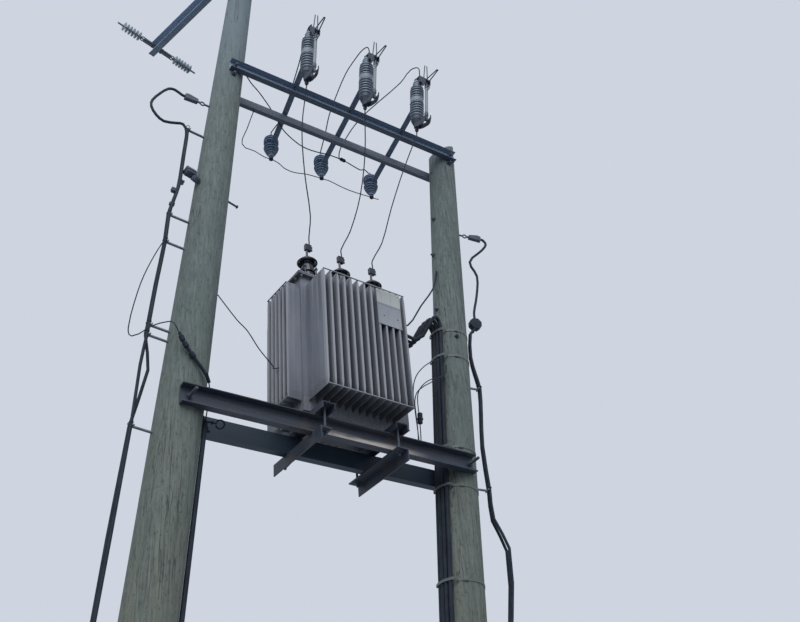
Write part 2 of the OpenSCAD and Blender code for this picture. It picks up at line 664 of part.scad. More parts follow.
// How far each jumper bows to the right of the straight line, at three places
jumper_bows = [[-50, -30, 15], [65, 80, 40], [-10, -10, 5]];
module hv_jumpers() {
    down = [0, sin(cutout_tilt), -cos(cutout_tilt)];
    color("Black") for (i = [1:3]) let (a = cutout_foot(i), b = bushing_clamp(i), bow = jumper_bows[i - 1])
        cord(concat([a], curve([a + 40 * down, 0.7 * a + 0.3 * b + [bow[0], 0, 0],
            0.42 * a + 0.58 * b + [bow[1], 0, 0], 0.18 * a + 0.82 * b + [bow[2], 0, 0],
            b + [0, 0, 90], b + [0, 0, 25]], 3), [b]), jumper_d);
}
// The leads' places between a cut-out's upper terminal and its arrester
lead_places = [
    [[1143, -560, 8725], [1165, -440, 8700], [1192, -312, 8610], [1209, -156, 8485], [1215, 0, 8330],
        [1219, 130, 8255], [1221, 230, 8262]],
    [[1724, -600, 8770], [1727, -510, 8830], [1722, -400, 8830], [1689, -274, 8740], [1636, -156, 8500],
        [1628, -39, 8365], [1659, 78, 8300], [1705, 210, 8300]]];
module arrester_leads() {
    color("Black") for (i = [1:2]) let (a = cutout_terminal(i), b = arrester_top(i))
        cord(concat([a], curve(concat([a + [0, -4, 24]], lead_places[i - 1], [b + [0, 0, 25]]), 3), [b]),
            jumper_d);
}
// The third phase's leads meet in a connector on the line's own lead
line_connector = [1868, 154, 8084];
line_way = [0.925, 0.285, 0.249];
module line_leads() {
    mate = line_connector - 15 * line_way;
    color("Black") {
        cord(curve([left_at(8512, 22, jumper_d / 2 - 0.9), [830, -60, 8350], [940, 0, 8345],
            [1070, 40, 8250], [1210, 70, 8075], [1310, 80, 8010], [1420, 100, 7990], [1540, 110, 8000],
            [1700, 125, 8045], mate - 60 * line_way - [0, 0, 6], mate - [0, 0, 6]], 3), jumper_d);
        cord(curve([cutout_terminal(3), cutout_terminal(3) + [0, -4, 24], [2276, -600, 8810], [2250, -520, 8850], [2180, -430, 8720],
            [1950, -200, 8440], [1890, -60, 8360], [1850, 50, 8260], [1820, 105, 8165],
            mate - 36 * line_way + [0, 0, 10], mate + [0, 0, 6]], 3), jumper_d);
        cord(curve([line_connector + 15 * line_way, [2000, 210, 8130], [2130, 268, 8180],
            arrester_top(3) + [-60, -8, 12], arrester_top(3) + [-12, 0, -8]], 3), jumper_d);
        bar(line_connector - 25 * line_way, line_connector + 25 * line_way, 32);
    }
}
module arrester_earth_wire() {
    crossarm = [900, rear_arm_y + rear_arm_flange / 2, rear_crossarm_z - rear_arm_depth - earth_d / 2 - 0.3];
    a = arrester_foot(1);
    b = arrester_foot(2);
    c = arrester_foot(3);
    color("Black") {
        cord(curve([crossarm, [880, 90, 7940], [880, 190, 7840], [1040, 270, 7900], a - [60, 0, 5],
            a - [19, 0, 0]], 3), earth_d);
        cord(curve([a + [19, 0, 0], a + [75, 0, -15], a + [135, 0, -52], a + [230, 0, -56],
            b - [160, 0, 18], b - [19, 0, 0]], 3), earth_d);
        cord(curve([b + [19, 0, 0], b + [75, 0, 8], b + [200, 0, -10], b + [320, 0, -16],
            c - [19, 0, 0]], 3), earth_d);
        cord([c + [19, 0, 0], c + [75, 0, 8]], earth_d);
        for (foot = [a, b, c]) translate(foot - [0, 0, earth_d / 2]) cylinder(h = earth_d, r = 20);
    }
}

// Places in a pole's own leaning frame: an angle round it, a distance outside the timber and a length along it
function on_lean(x0, p) = let (y = p[1] * cos(lean_front) - p[2] * sin(lean_front),
        z = p[1] * sin(lean_front) + p[2] * cos(lean_front))
    [x0 + p[0] * cos(lean_side) + z * sin(lean_side), y, z * cos(lean_side) - p[0] * sin(lean_side)];
function left_at(s, angle, out) = let (r = lookup(s, left_girth) + out)
    on_lean(0, [r * cos(angle), r * sin(angle), s]);
function right_at(s, angle, out) = let (r = lookup(s, right_girth) + out)
    on_lean(pole_spacing, [r * cos(angle), r * sin(angle), s]);
riser_angles = [168, 180, 192, 204];
riser_gap = 8;
riser_out = riser_gap + lv_cable_d / 2;
riser_top = platform_h + 1270;
riser_foot = 40;
strap_heights = [1200, 2600, 4040, 4760, 5080, 5915, 6170];
lv_lanes = [60, -60, 20, -20];
lv_rise = [70, 70, 120, 60];
lv_order = [0, 3, 1, 2];
module lv_cables() {
    color("Black") for (k = [0:3]) let (x = (k - 1.5) * lv_pitch, lane = lv_lanes[k],
            w = riser_angles[lv_order[k]], a = from_unit([x, lv_back, lid_top + 150]))
        cord(concat([a], curve([a + [0, 0, 25],
            from_unit([x + 70, lv_back + lane, lid_top + 150 + lv_rise[k]]),
            from_unit([tank_length / 2 + 70, lv_back + lane, lid_top + 80]),
            from_unit([tank_length / 2 + 320, lv_back - 80 + lane * 1.3, lid_top - 170]),
            right_at(riser_top - 30, w, 130), right_at(riser_top, w, 60),
            right_at(riser_top - 60, w, riser_out)], 3),
            [for (s = [riser_top - 200, platform_h, riser_foot]) right_at(s, w, riser_out)]),
            lv_cable_d, 10);
}
// A strap round a pole that runs outside the cables between two angles
module strap(r, from, to, rise) {
    w = 20;
    t = 2.5;
    step = 6;
    steps = [for (a = [0:step:359]) a];
    function at(a, out) = let (q = (a > from && a < to ? r + rise : r) + out) [q * cos(a), q * sin(a)];
    linear_extrude(w) difference() {
        polygon([for (a = steps) at(a, t + 1)]);
        polygon([for (a = steps) at(a, 1)]);
    }
}
module riser_straps() {
    color("Silver") translate([pole_spacing, 0, 0]) rotate([lean_front, lean_side, 0]) for (s = strap_heights)
        translate([0, 0, s]) strap(lookup(s, right_girth), 154, 218, riser_gap + lv_cable_d);
}
module standoff(x0, girth, s, angle, out) {
    difference() {
        translate([x0, 0, 0]) rotate([lean_front, lean_side, 0]) translate([0, 0, s]) rotate([0, 0, angle]) {
            r = lookup(s, girth);
            translate([r - 12, -10, -4]) cube([out + 12, 20, 8]);
            translate([r + out - 8, -30, -4]) cube([8, 60, 8]);
        }
        translate([x0, 0, 0]) pole_round(girth);
    }
}
right_bundle_angle = -15;
left_bundle_angle = 182;
// The standoffs' places along the poles and their reach
right_stays = [[1400, 60], [3000, 60], [4833, 90], [5731, 77]];
left_stays = [[1500, 130], [3200, 130], [4705, 132], [5405, 138], [5486, 138], [6230, 137], [6488, 148],
    [7410, 134]];
// The bundles' places along the poles and their distance outside the timber
right_bundle_s = [[6337, 82], [6322, 81], [6280, 45], [6030, 32], [5870, 60], [5731, 89], [5500, 84], [5200, 74],
    [4833, 102], [4600, 116], [4380, 215], [3850, 190], [3300, 90], [3000, 72], [1400, 72], [40, 72]];
left_bundle_s = [[7410, 146], [7300, 138], [7150, 135], [6990, 130], [6790, 128], [6600, 150], [6488, 160],
    [6230, 149], [5840, 154], [5486, 152], [5405, 152]];
left_bundle_low = [[4705, 144], [3200, 142], [1500, 142], [40, 142]];
module right_standoffs() {
    color("Gray") for (v = right_stays)
        standoff(pole_spacing, right_girth, v[0], right_bundle_angle, v[1] + 11 - service_d / 2);
}
module left_standoffs() {
    color("Gray") for (v = left_stays)
        standoff(0, left_girth, v[0], left_bundle_angle, v[1] + 11 - service_d / 2);
}
module right_cable_bundle() {
    color("Black") {
        for (w = [-4, 4]) cord(curve([for (v = right_bundle_s)
            right_at(v[0], right_bundle_angle + w, v[1])], 2), service_d);
        cord(curve([for (v = [[7377, 212], [7376, 234], [7330, 262], [7240, 210], [7080, 92], [6930, 150], [6700, 130],
            [6520, 95], [6440, 95]]) right_at(v[0], right_bundle_angle, v[1])], 3), service_d);
    }
}
module left_cable_bundle() {
    loop = [[7786, 212], [7787, 235], [7810, 300], [7790, 350], [7700, 405], [7590, 452], [7520, 450], [7450, 400],
        [7415, 330], [7452, 230], [7468, 180]];
    color("Black") for (k = [-1, 1]) cord(concat(
        curve([for (v = concat(k < 0 ? loop : [], left_bundle_s, [[5150, 126 + 33 * k]], left_bundle_low))
            left_at(v[0], left_bundle_angle + 3 * k, v[1])], 2)), service_d);
}
// A dead end: an eye bolt in the pole, a link and a wedge clamp that holds a cable
module dead_end(x0, girth, s, angle) {
    r = lookup(s, girth);
    difference() {
        translate([x0, 0, 0]) rotate([lean_front, lean_side, 0]) translate([0, 0, s]) rotate([0, 0, angle]) {
            translate([r - 15, 0, 0]) rotate([0, 90, 0]) cylinder(h = 60, d = 16);
            translate([r + 60, 0, 0]) rotate([90, 0, 0]) rotate_extrude() translate([17, 0]) circle(r = 6);
            translate([r + 75, -5, -9]) cube([40, 10, 18]);
            translate([r + 100, 17, 0]) rotate([90, 0, 0]) linear_extrude(34)
                polygon([[0, -16], [110, -26], [110, 22], [80, 30], [0, 16]]);
        }
        translate([x0, 0, 0]) pole_round(girth);
    }
}
module dead_end_clamps() {
    color("Gray") {
        dead_end(0, left_girth, 7786, left_bundle_angle - 3);
        dead_end(pole_spacing, right_girth, 7377, right_bundle_angle);
    }
}
module cable_connector() {
    d = 100;
    color("Gray") translate([pole_spacing, 0, 0]) rotate([lean_front, lean_side, 0])
        rotate([0, 0, right_bundle_angle]) translate([lookup(6390, right_girth) + 95, 0, 6388])
            rotate([90, 22.5, 0]) cylinder(h = 52, d = d / cos(22.5), center = true, $fn = 8);
}
module left_earth_cable() {
    color("Black") cord([for (s = [4850, 3000, 1000, 40]) left_at(s, -20, pipe_d * 0.462 + 0.3)], pipe_d);
}

module earth_and_neutral_wires() {
    color("Black") {
        cord(concat(curve([left_at(6230, left_bundle_angle + 6.1, 149), left_at(6164, 190, 183),
            left_at(5889, 190, 254), left_at(5668, 190, 287), left_at(5360, 190, 300),
            left_at(5298, 192, 273), left_at(5415, 198, 169), left_at(5481, 205, 92), [220, -240, 5450],
            [290, -240, 5320], [390, -243, 5190], [465, -236, 5105], [508, -190, 5050],
            left_at(4975, -20, 20)], 3), [left_at(4880, -20, 16), left_at(4850.5, -20, 16)]), earth_d);
        cord(curve([left_at(5870, -35, 4.3), [690, -200, 5650], [755, -222, 5570], [840, -230, 5440],
            [905, -235, 5365], [980, -170, 5370], from_unit([-tank_length / 2 - 140, 0, 430]),
            from_unit([-tank_length / 2 - 60, 0, 468]), from_unit([-tank_length / 2 - 0.5, 0, 470])], 3),
            earth_d);
        cord(curve([[2100, -250, platform_h + 0.3], [2100, -255, 5100], [2094, -262, 5210],
            [2088, -272, 5330], [2140, -262, 5440], [2340, -222, 5610], right_at(5760, 214, 20),
            right_at(5840, 214, 4.4)], 3), earth_d);
        cord(curve([from_unit([tank_length / 2 + flange_out + 1.2, -100, lid_top - 11]),
            from_unit([tank_length / 2 + flange_out + 24, -100, lid_top - 11]), [2120, -125, 6165], [2230, -90, 6176], [2370, -110, 6405], [2490, -140, 6600],
            right_at(6760, 192, 20), right_at(6840, 192, 7.4)], 3), earth_d + 6);
    }
}

// Line arm at the left pole's top
line_arm_depth = 140;
line_arm_flange = 60;
line_arm_web = 8;
line_arm_seat = 92;
line_arm_z = left_pole_h - line_arm_drop - line_arm_depth;
module on_line_arm() {
    translate([axis_x(line_arm_z + line_arm_depth / 2), axis_y(line_arm_z + line_arm_depth / 2), line_arm_z])
        rotate([0, 0, line_arm_turn]) children();
}
module line_arm() {
    color("SlateGray") on_line_arm() difference() {
        translate([-line_arm_length / 2, -line_arm_seat, line_arm_depth])
            channel(line_arm_length, line_arm_depth, line_arm_flange, line_arm_web);
        y_bore(0, line_arm_depth / 2, bolt_d + 2 * bolt_gap);
    }
}
module line_arm_bolt() {
    color("Silver") on_line_arm() translate([0, 0, line_arm_depth / 2])
        through_bolt(-line_arm_seat - line_arm_web, line_arm_seat + 25, 20);
}
module strain_string() {
    shed_r = 45;
    rotate_extrude() polygon(concat([[0, 0], [14, 0], [14, 20], [8, 26], [8, 190]],
        [for (z = [200:34:370]) each [[10, z], [shed_r, z + 8], [shed_r, z + 11], [10, z + 16]]],
        [[9, 400], [9, 450], [0, 450]]));
}
module strain_insulators() {
    color("Gray") on_line_arm() for (x = [-1, 0.5, 1])
        translate([x * (line_arm_length / 2 - 60), 0, line_arm_depth / 2]) {
            translate([0, -line_arm_seat - line_arm_web, 0]) rotate([90, 0, 0]) strain_string();
            translate([0, -line_arm_seat, 0]) rotate([-90, 0, 0]) strain_string();
        }
}

left_pole();
right_pole();
front_platform_beam();
rear_platform_beam();
platform_bolts();
left_clamp_angle();
right_clamp_angle();
hold_down_rods();
left_skid();
right_skid();
tank_body();
tank_cover();
front_fins();
rear_fins();
left_fins();
right_fins();
hv_bushing(1);  // hv_bushing_1
hv_bushing(2);  // hv_bushing_2
hv_bushing(3);  // hv_bushing_3
lv_bushings();
blank_plate();
front_crossarm();
rear_crossarm();
crossarm_bolts();
cutout_bracket(1);  // cutout_bracket_1
cutout_bracket(2);  // cutout_bracket_2
cutout_bracket(3);  // cutout_bracket_3
cutout_insulator(1);  // cutout_insulator_1
cutout_insulator(2);  // cutout_insulator_2
cutout_insulator(3);  // cutout_insulator_3
cutout_top_contact(1);  // cutout_top_contact_1
cutout_top_contact(2);  // cutout_top_contact_2
cutout_top_contact(3);  // cutout_top_contact_3
cutout_hinge(1);  // cutout_hinge_1
cutout_hinge(2);  // cutout_hinge_2
cutout_hinge(3);  // cutout_hinge_3
fuse_tube(1);  // fuse_tube_1
fuse_tube(2);  // fuse_tube_2
fuse_tube(3);  // fuse_tube_3
surge_arrester(1);  // surge_arrester_1
surge_arrester(2);  // surge_arrester_2
surge_arrester(3);  // surge_arrester_3
hv_jumpers();
arrester_leads();
arrester_earth_wire();
lv_cables();
riser_straps();
right_standoffs();
right_cable_bundle();
left_standoffs();
left_cable_bundle();
left_earth_cable();
line_leads();
earth_and_neutral_wires();
dead_end_clamps();
cable_connector();
line_arm();
line_arm_bolt();
strain_insulators();
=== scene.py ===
# %% [markdown]
# A transformer on a platform between two timber poles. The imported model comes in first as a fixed
# frame: every solid already has its true shape and place, in metres, with +Z up and the origin in
# the middle of the left pole's foot. This file gives those solids their finishes and adds the small
# things that are quicker to model here than in CAD, such as bolt heads, weld beads and cable ties.

# %% Load the frame
import json
import math

import bmesh
import bpy
from mathutils import Matrix, Vector


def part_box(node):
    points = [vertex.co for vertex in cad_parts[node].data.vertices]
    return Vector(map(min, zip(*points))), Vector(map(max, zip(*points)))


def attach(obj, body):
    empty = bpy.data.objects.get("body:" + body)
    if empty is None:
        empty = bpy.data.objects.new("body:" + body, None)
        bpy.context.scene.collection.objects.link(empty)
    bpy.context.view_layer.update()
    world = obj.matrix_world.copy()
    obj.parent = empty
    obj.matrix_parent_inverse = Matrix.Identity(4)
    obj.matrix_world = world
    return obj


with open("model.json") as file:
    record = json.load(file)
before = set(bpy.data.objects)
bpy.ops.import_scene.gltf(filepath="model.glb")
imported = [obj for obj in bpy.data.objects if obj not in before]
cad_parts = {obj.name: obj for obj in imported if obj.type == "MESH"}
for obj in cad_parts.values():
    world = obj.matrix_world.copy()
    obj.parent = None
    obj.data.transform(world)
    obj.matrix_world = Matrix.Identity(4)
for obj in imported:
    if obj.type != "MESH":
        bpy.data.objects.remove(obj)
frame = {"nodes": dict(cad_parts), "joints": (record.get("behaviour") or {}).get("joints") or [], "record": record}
nodes = frame["nodes"]
slot_of = {part["node"]: part["material_slot"] for part in frame["record"]["subparts"]}
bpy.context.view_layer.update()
bpy.ops.object.select_all(action="DESELECT")

# %% [markdown]
# The camera stands at eye height in front of the structure's left half and looks up. Its place and
# its turn were worked out beforehand from the known distances between the poles, the crossarms and
# the platform, so they are written down here as numbers and not adjusted by eye. A camera of 36 mm
# sensor width and 45 mm lens gives the same perspective as the photo.

# %% Camera of the photo
camera = bpy.data.objects.new("camera", bpy.data.cameras.new("camera"))
bpy.context.scene.collection.objects.link(camera)
camera.data.sensor_width, camera.data.lens = 36.0, 45.148
camera.data.clip_start, camera.data.clip_end = 0.05, 200.0
camera.location = (-1.69034, -5.35768, 1.49660)
camera.rotation_euler = [math.radians(a) for a in (126.4716, 4.5617, -32.8511)]
bpy.context.scene.camera = camera
transformer = Vector((1.5, 0, 5.6))
print("camera", round((camera.location - transformer).length, 2), "m from the transformer")

# %% [markdown]
# A finish is a small network of nodes. Written node by node it is long and hard to read, so a
# socket is wrapped in a class whose operators add the Math nodes: dirt * 0.5 + 0.2 then reads as
# it would on paper. Everything that isn't plain arithmetic comes from one method, node(), which
# takes the node's type, its settings and the values or links of its sockets.

# %% A socket that can be reckoned with
class Signal:
    """One number of a finish that varies over the surface."""
    def __init__(self, finish, socket):
        self.finish, self.socket = finish, socket

    def math(self, operation, *values, clamp=False):
        return self.finish.node("Math", {"operation": operation, "use_clamp": clamp},
                                dict(enumerate(values)))

    def __add__(self, other): return self.math("ADD", self, other)
    def __sub__(self, other): return self.math("SUBTRACT", self, other)
    def __rsub__(self, other): return self.math("SUBTRACT", other, self)
    def __mul__(self, other): return self.math("MULTIPLY", self, other)
    def __pow__(self, other): return self.math("POWER", self, other)
    __radd__, __rmul__ = __add__, __mul__

    def held(self):
        """The same number kept between 0 and 1."""
        return self.math("ADD", self, 0.0, clamp=True)

    def wave(self):
        """The number's sine, moved to lie between 0 and 1."""
        return self.math("SINE", self) * 0.5 + 0.5

    def between(self, low, high):
        """0 below low, 1 above high, with a soft change between them."""
        return self.finish.node("MapRange", {"interpolation_type": "SMOOTHSTEP"},
                                {"Value": self, "From Min": low, "From Max": high})

    def window(self, low, full, last, high):
        """0 below low, 1 from full to last and 0 again above high."""
        return self.between(low, full) * (1 - self.between(last, high))


# %% A finish as a set of nodes
finishes = {}


class Finish:
    """A material that is being mixed, with its shader and its Object coordinates."""
    def __init__(self, name):
        self.name = name
        self.material = bpy.data.materials.new(name)
        self.material.use_nodes = True
        self.tree = self.material.node_tree
        self.shader = self.tree.nodes["Principled BSDF"]
        self.place = Signal(self, self.tree.nodes.new("ShaderNodeTexCoord").outputs["Object"])

    def node(self, kind, settings=None, sockets=None, output=0):
        made = self.tree.nodes.new("ShaderNode" + kind)
        for key, value in (settings or {}).items():
            if key == "stops":
                ramp = made.color_ramp
                while len(ramp.elements) < len(value):
                    ramp.elements.new(0.5)
                for element, (position, colour) in zip(ramp.elements, value):
                    element.position, element.color = position, (*colour, 1.0)
            else:
                setattr(made, key, value)
        for key, value in (sockets or {}).items():
            self.set(made.inputs[key], value)
        return Signal(self, made.outputs[output])

    def set(self, socket, value):
        if isinstance(value, Signal):
            self.tree.links.new(value.socket, socket)
        elif isinstance(value, tuple) and len(value) == 3 and len(socket.default_value) == 4:
            socket.default_value = (*value, 1.0)
        else:
            socket.default_value = value

    def part(self, axis, vector=None):
        """X, Y or Z of a vector. Of the place itself they are east, north and height, in metres."""
        return self.node("SeparateXYZ", None, {"Vector": vector or self.place}, output=axis)

    def upward(self):
        """1 where the surface looks up, 0 on a wall and -1 where it looks down."""
        return self.part("Z", self.node("NewGeometry", output="Normal"))

    def stretched(self, x, y, z, shift=(0, 0, 0)):
        """Object coordinates, finer along the directions with the larger numbers."""
        return self.node("Mapping", None, {"Vector": self.place, "Scale": (x, y, z), "Location": shift})

    def noise(self, where, scale, detail=4.0, rough=0.55):
        return self.node("TexNoise", None, {"Vector": where, "Scale": scale, "Detail": detail,
                                            "Roughness": rough})

    def mix(self, share, first, second):
        """Two colours in one; they are the Mix node's inputs 6 and 7, and the result is output 2."""
        return self.node("Mix", {"data_type": "RGBA"}, {"Factor": share, 6: first, 7: second}, output=2)

    def layers(self, tone, *coats):
        """Lays coats over a tone, each with the share that it covers and its own tone."""
        for share, colour in coats:
            tone = self.mix(share, tone, colour)
        return tone

    def ramp(self, signal, *stops):
        return self.node("ValToRGB", {"stops": stops}, {"Fac": signal})

    def bump(self, height, depth):
        return self.node("Bump", None, {"Height": height, "Distance": depth, "Strength": 1.0})

    def finish(self, colour, rough, metal=0.0, normal=None, **fixed):
        """Connects the shader and keeps the material under its name."""
        for key, value in {"Base Color": colour, "Roughness": rough, "Metallic": metal,
                           **({"Normal": normal} if normal else {})}.items():
            self.set(self.shader.inputs[key], value)
        for key, value in fixed.items():
            self.shader.inputs[key.replace("_", " ")].default_value = value
        print(self.name, len(self.tree.nodes), "nodes")
        finishes[self.name] = self.material
        return self.material


# %% [markdown]
# The poles are treated pine, left round and unpainted. Years of sun have turned the surface a
# grey-green, bluer towards the tops and browner below the platform, with a few dull stains there.
# All over it are dark flecks, narrow drying checks that run up and down, and some knots. Long
# patterns come from noise that is squeezed across the pole and drawn out along it. The sawn tops
# show year rings instead: they need the distance from the pole's own leaning axis, so that distance
# is worked out from the coordinates first. The numbers of a noise are its scale in each direction,
# its detail and its roughness, and those of between() are the values where it starts and ends.

# %% Weathered timber
POLE_SPACING, LEAN_SIDE, LEAN_FRONT = 2.2, 4.17, 0.85
RING_RATE = 700  # a year ring every 9 mm
side_rate = math.tan(math.radians(LEAN_SIDE))
front_rate = math.tan(math.radians(LEAN_FRONT)) / math.cos(math.radians(LEAN_SIDE))

wood = Finish("weathered_timber")
fibre = wood.noise(wood.stretched(75, 75, 7), 1.0, 8.0, 0.66)
band = wood.noise(wood.stretched(10, 10, 0.5), 1.0, 4.0, 0.55)
patch = wood.noise(wood.stretched(2.4, 2.4, 1.3), 1.0, 6.0, 0.65)
fleck = wood.noise(wood.stretched(52, 52, 26), 1.0, 5.0, 0.72)
stain = wood.noise(wood.stretched(7, 7, 3.2, (5, 2, 0)), 1.0, 5.0, 0.6)
crack = wood.noise(wood.stretched(30, 30, 0.5, (3, 1, 0)), 1.0, 3.0, 0.45) - 0.5
check = (1 - (crack * crack).between(0.0, 0.00016)) * patch.between(0.42, 0.6)
knots = wood.node("TexVoronoi", {"feature": "F1"},
                  {"Vector": wood.stretched(2.3, 2.3, 1.25), "Scale": 1.0})
knot = 1 - knots.between(0.045, 0.085)
east, north, height = (wood.part(axis) for axis in "XYZ")
across = east - height * side_rate
across = across - across.between(1.0, 1.001) * POLE_SPACING
deep = north + height * front_rate
radius = (across * across + deep * deep) ** 0.5
rings = (radius * RING_RATE + band * 3).wave()
sawn = wood.upward().between(0.45, 0.55)
tone = wood.layers(
    wood.mix(patch.between(0.3, 0.7), (0.078, 0.108, 0.106), (0.120, 0.146, 0.143)),
    ((1 - height.between(1.5, 6.6)) * 0.75, (0.160, 0.158, 0.104)),
    (stain.between(0.52, 0.66) * (1 - height.between(4.5, 7.0)) * 0.4, (0.098, 0.084, 0.066)),
    (band.between(0.35, 0.7) * 0.5, (0.070, 0.090, 0.090)),
    (fibre.between(0.42, 0.72) * 0.6, (0.175, 0.200, 0.192)),
    ((1 - fibre.between(0.32, 0.46)) * 0.6, (0.050, 0.066, 0.064)),
    (fleck.between(0.54, 0.66) * 0.65, (0.034, 0.046, 0.044)),
    (height.between(7.4, 9.4) * 0.75, (0.126, 0.162, 0.200)),
    (knot * 0.8, (0.040, 0.042, 0.040)),
    (check * 0.6, (0.026, 0.031, 0.028)),
    (sawn, wood.mix(rings, (0.085, 0.088, 0.080), (0.170, 0.172, 0.155))))
relief = fibre * 0.4 + band * 0.5 + fleck * -0.2 - check * 0.9 - knot * 0.4 + rings * sawn * 0.2
wood.finish(tone, 0.88, normal=wood.bump(relief, 0.005))

# %% [markdown]
# Most of the steel is plain rolled section with a thin dark coat that has started to rust. Every
# section looks the same close by and differs only in its tones, so one function makes the finish.
# The large patches are a slow noise and the pitting is a fast one, and the rust is rougher than the
# coat. Four of the sections also have a tone of their own on one part only. The dark front beam is
# worn pale low down between the clamp angles. Right of its left end the dark rear beam has painted
# shadow: a near-black tone stands in for the shade under the tank. The front crossarm has painted
# light in its hollow, a lighter tone against the shade of the channel, and the brackets' bands round
# the insulators are zinc.

# %% Coated steel sections
beam_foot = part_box("front_platform_beam")[0][2]
arm_low, arm_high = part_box("front_crossarm")


def own_part(name, steel):
    """The tone that only one part of a section has, if there is one, with its share: a coat, painted shadow or
    painted light.
    """
    if name == "rusty_dark_steel":
        worn = steel.noise(steel.stretched(2.2, 8, 16), 1.0, 6.0, 0.6).between(0.30, 0.52)
        spot = steel.part("X").window(1.30, 1.36, 1.85, 2.25) * steel.part("Z").window(
            *(beam_foot + up for up in (0.003, 0.006, 0.05, 0.09)))
        return [((spot * worn).held() * 0.9, (0.560, 0.500, 0.460))]
    if name == "dark_beam_steel_painted_shadow":
        # painted shadow: right of its left end the rear beam is darkened to near-black, the shade under the tank
        return [(steel.part("X").between(0.45, 0.80) * 0.7, (0.002, 0.010, 0.024))]
    if name == "blue_grey_steel":
        # painted light: the inside of the front crossarm's channel gets a lighter tone against its shade
        painted_light_hollow = steel.part("Y").between(arm_low[1] + 0.003, arm_low[1] + 0.008)
        painted_light_hollow = painted_light_hollow * steel.part("Z").window(arm_low[2] + 0.007, arm_low[2] + 0.010,
                                                 arm_high[2] - 0.004, arm_high[2])
        return [(painted_light_hollow * 0.9, (0.215, 0.285, 0.400))]
    if name == "bracket_steel":
        return [((1 - steel.part("Y").between(-0.478, -0.472)) * 0.85, (0.205, 0.235, 0.280))]
    return []


def section_steel(name, deep_tone, pale_tone, rust_share, rust_start):
    steel = Finish(name)
    cloud = steel.noise(steel.stretched(3, 8, 8), 1.0, 7.0, 0.65)
    pits = steel.noise(steel.place, 90.0, 4.0, 0.65)
    run = steel.noise(steel.stretched(14, 14, 3), 1.0, 5.0, 0.6)
    streak = steel.noise(steel.stretched(1.3, 40, 40), 1.0, 4.0, 0.6)
    rust = (cloud * 0.6 + run * 0.4).between(rust_start, rust_start + 0.1)
    tone = steel.layers(
        steel.mix(pits.between(0.3, 0.75), deep_tone, pale_tone),
        (streak.between(0.5, 0.7) * 0.4, tuple(v * 1.5 for v in pale_tone)),
        (rust * rust_share, steel.mix(pits, (0.046, 0.038, 0.038), (0.108, 0.088, 0.080))),
        *own_part(name, steel))
    steel.finish(tone, rust * 0.25 + 0.55, normal=steel.bump(pits * 0.6 + cloud * 0.4, 0.0015))


section_steel("rusty_dark_steel", (0.017, 0.024, 0.040), (0.038, 0.047, 0.070), 0.7, 0.52)
section_steel("dark_beam_steel_painted_shadow", (0.012, 0.032, 0.055), (0.026, 0.055, 0.090), 0.15, 0.6)
section_steel("strap_steel", (0.072, 0.088, 0.086), (0.108, 0.128, 0.125), 0.3, 0.58)
section_steel("line_arm_steel", (0.220, 0.285, 0.395), (0.310, 0.385, 0.500), 0.2, 0.6)
section_steel("blue_grey_steel", (0.046, 0.068, 0.112), (0.080, 0.108, 0.160), 0.3, 0.58)
section_steel("bracket_steel", (0.098, 0.142, 0.230), (0.172, 0.225, 0.325), 0.25, 0.58)
section_steel("pale_arm_steel", (0.070, 0.092, 0.132), (0.124, 0.150, 0.196), 0.4, 0.56)

# %% [markdown]
# Many nuts and small fittings are galvanised. Zinc sets in flat crystals a few millimetres across,
# which a Voronoi texture gives, and it goes dull and stained outdoors.

# %% Galvanised steel
zinc = Finish("galvanised_steel")
cell = zinc.node("TexVoronoi", {"feature": "F1"}, {"Vector": zinc.place, "Scale": 90.0})
cloud = zinc.noise(zinc.place, 14.0, 5.0, 0.6)
tone = zinc.layers(zinc.mix(cell.between(0.1, 0.9), (0.125, 0.145, 0.170), (0.210, 0.230, 0.255)),
                   (cloud.between(0.5, 0.68) * 0.7, (0.070, 0.062, 0.058)))
zinc.finish(tone, cloud * 0.25 + 0.45, 0.3, zinc.bump(cloud, 0.0008))

# %% [markdown]
# The tank and its fins have one coat of grey paint. Rain has drawn pale and dark streaks straight
# down the fins, the lid has dripped black on to the sheets at the left end, and the lowest part is
# dirtier. Streaks need a pattern that changes fast across and hardly at all down the sheet, so the
# noise is drawn out along Z. The fins' outer edges are given a lighter tone and are the brightest
# part; they are found by their distance from the tank's middle.

# %% Grey tank paint
FIN_FRONT, FIN_END, EDGE_DEPTH = 0.395, 0.490, 0.012
tank_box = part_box("tank_body")
tank_x, tank_y = [(tank_box[0][k] + tank_box[1][k]) / 2 for k in (0, 1)]
paint = Finish("grey_paint")
streak = paint.noise(paint.stretched(30, 30, 0.8), 1.0, 6.0, 0.62)
wash = paint.noise(paint.stretched(6, 6, 1.4), 1.0, 5.0, 0.6)
fine = paint.noise(paint.place, 70.0, 4.0, 0.65)
east, north, height = (paint.part(axis) for axis in "XYZ")
low = 1 - height.between(5.12, 5.42)
drip = paint.noise(paint.stretched(34, 34, 1.1, (0.4, 0.2, 0)), 1.0, 4.0, 0.6).between(0.46, 0.62)
drip = drip * height.between(5.62, 6.1) * (1 - east.between(tank_x - 0.33, tank_x - 0.28))
edge = ((tank_y - FIN_FRONT - north).between(0.0, EDGE_DEPTH)
        + (tank_x - FIN_END - east).between(0.0, EDGE_DEPTH))
tone = paint.layers(
    paint.mix(wash.between(0.3, 0.72), (0.132, 0.146, 0.182), (0.188, 0.198, 0.232)),
    (streak.between(0.52, 0.72) * 0.45, (0.285, 0.292, 0.315)),
    ((1 - streak.between(0.3, 0.46)) * 0.55, (0.078, 0.084, 0.102)),
    ((low * fine.between(0.25, 0.6)).held() * 0.5, (0.062, 0.064, 0.072)),
    (drip.held() * 0.75, (0.050, 0.056, 0.072)),
    (edge.held() * 0.6, (0.300, 0.310, 0.340)))
paint.finish(tone, wash * 0.2 + 0.45, 0.0, paint.bump(fine * 0.4 + streak * 0.6, 0.0014))
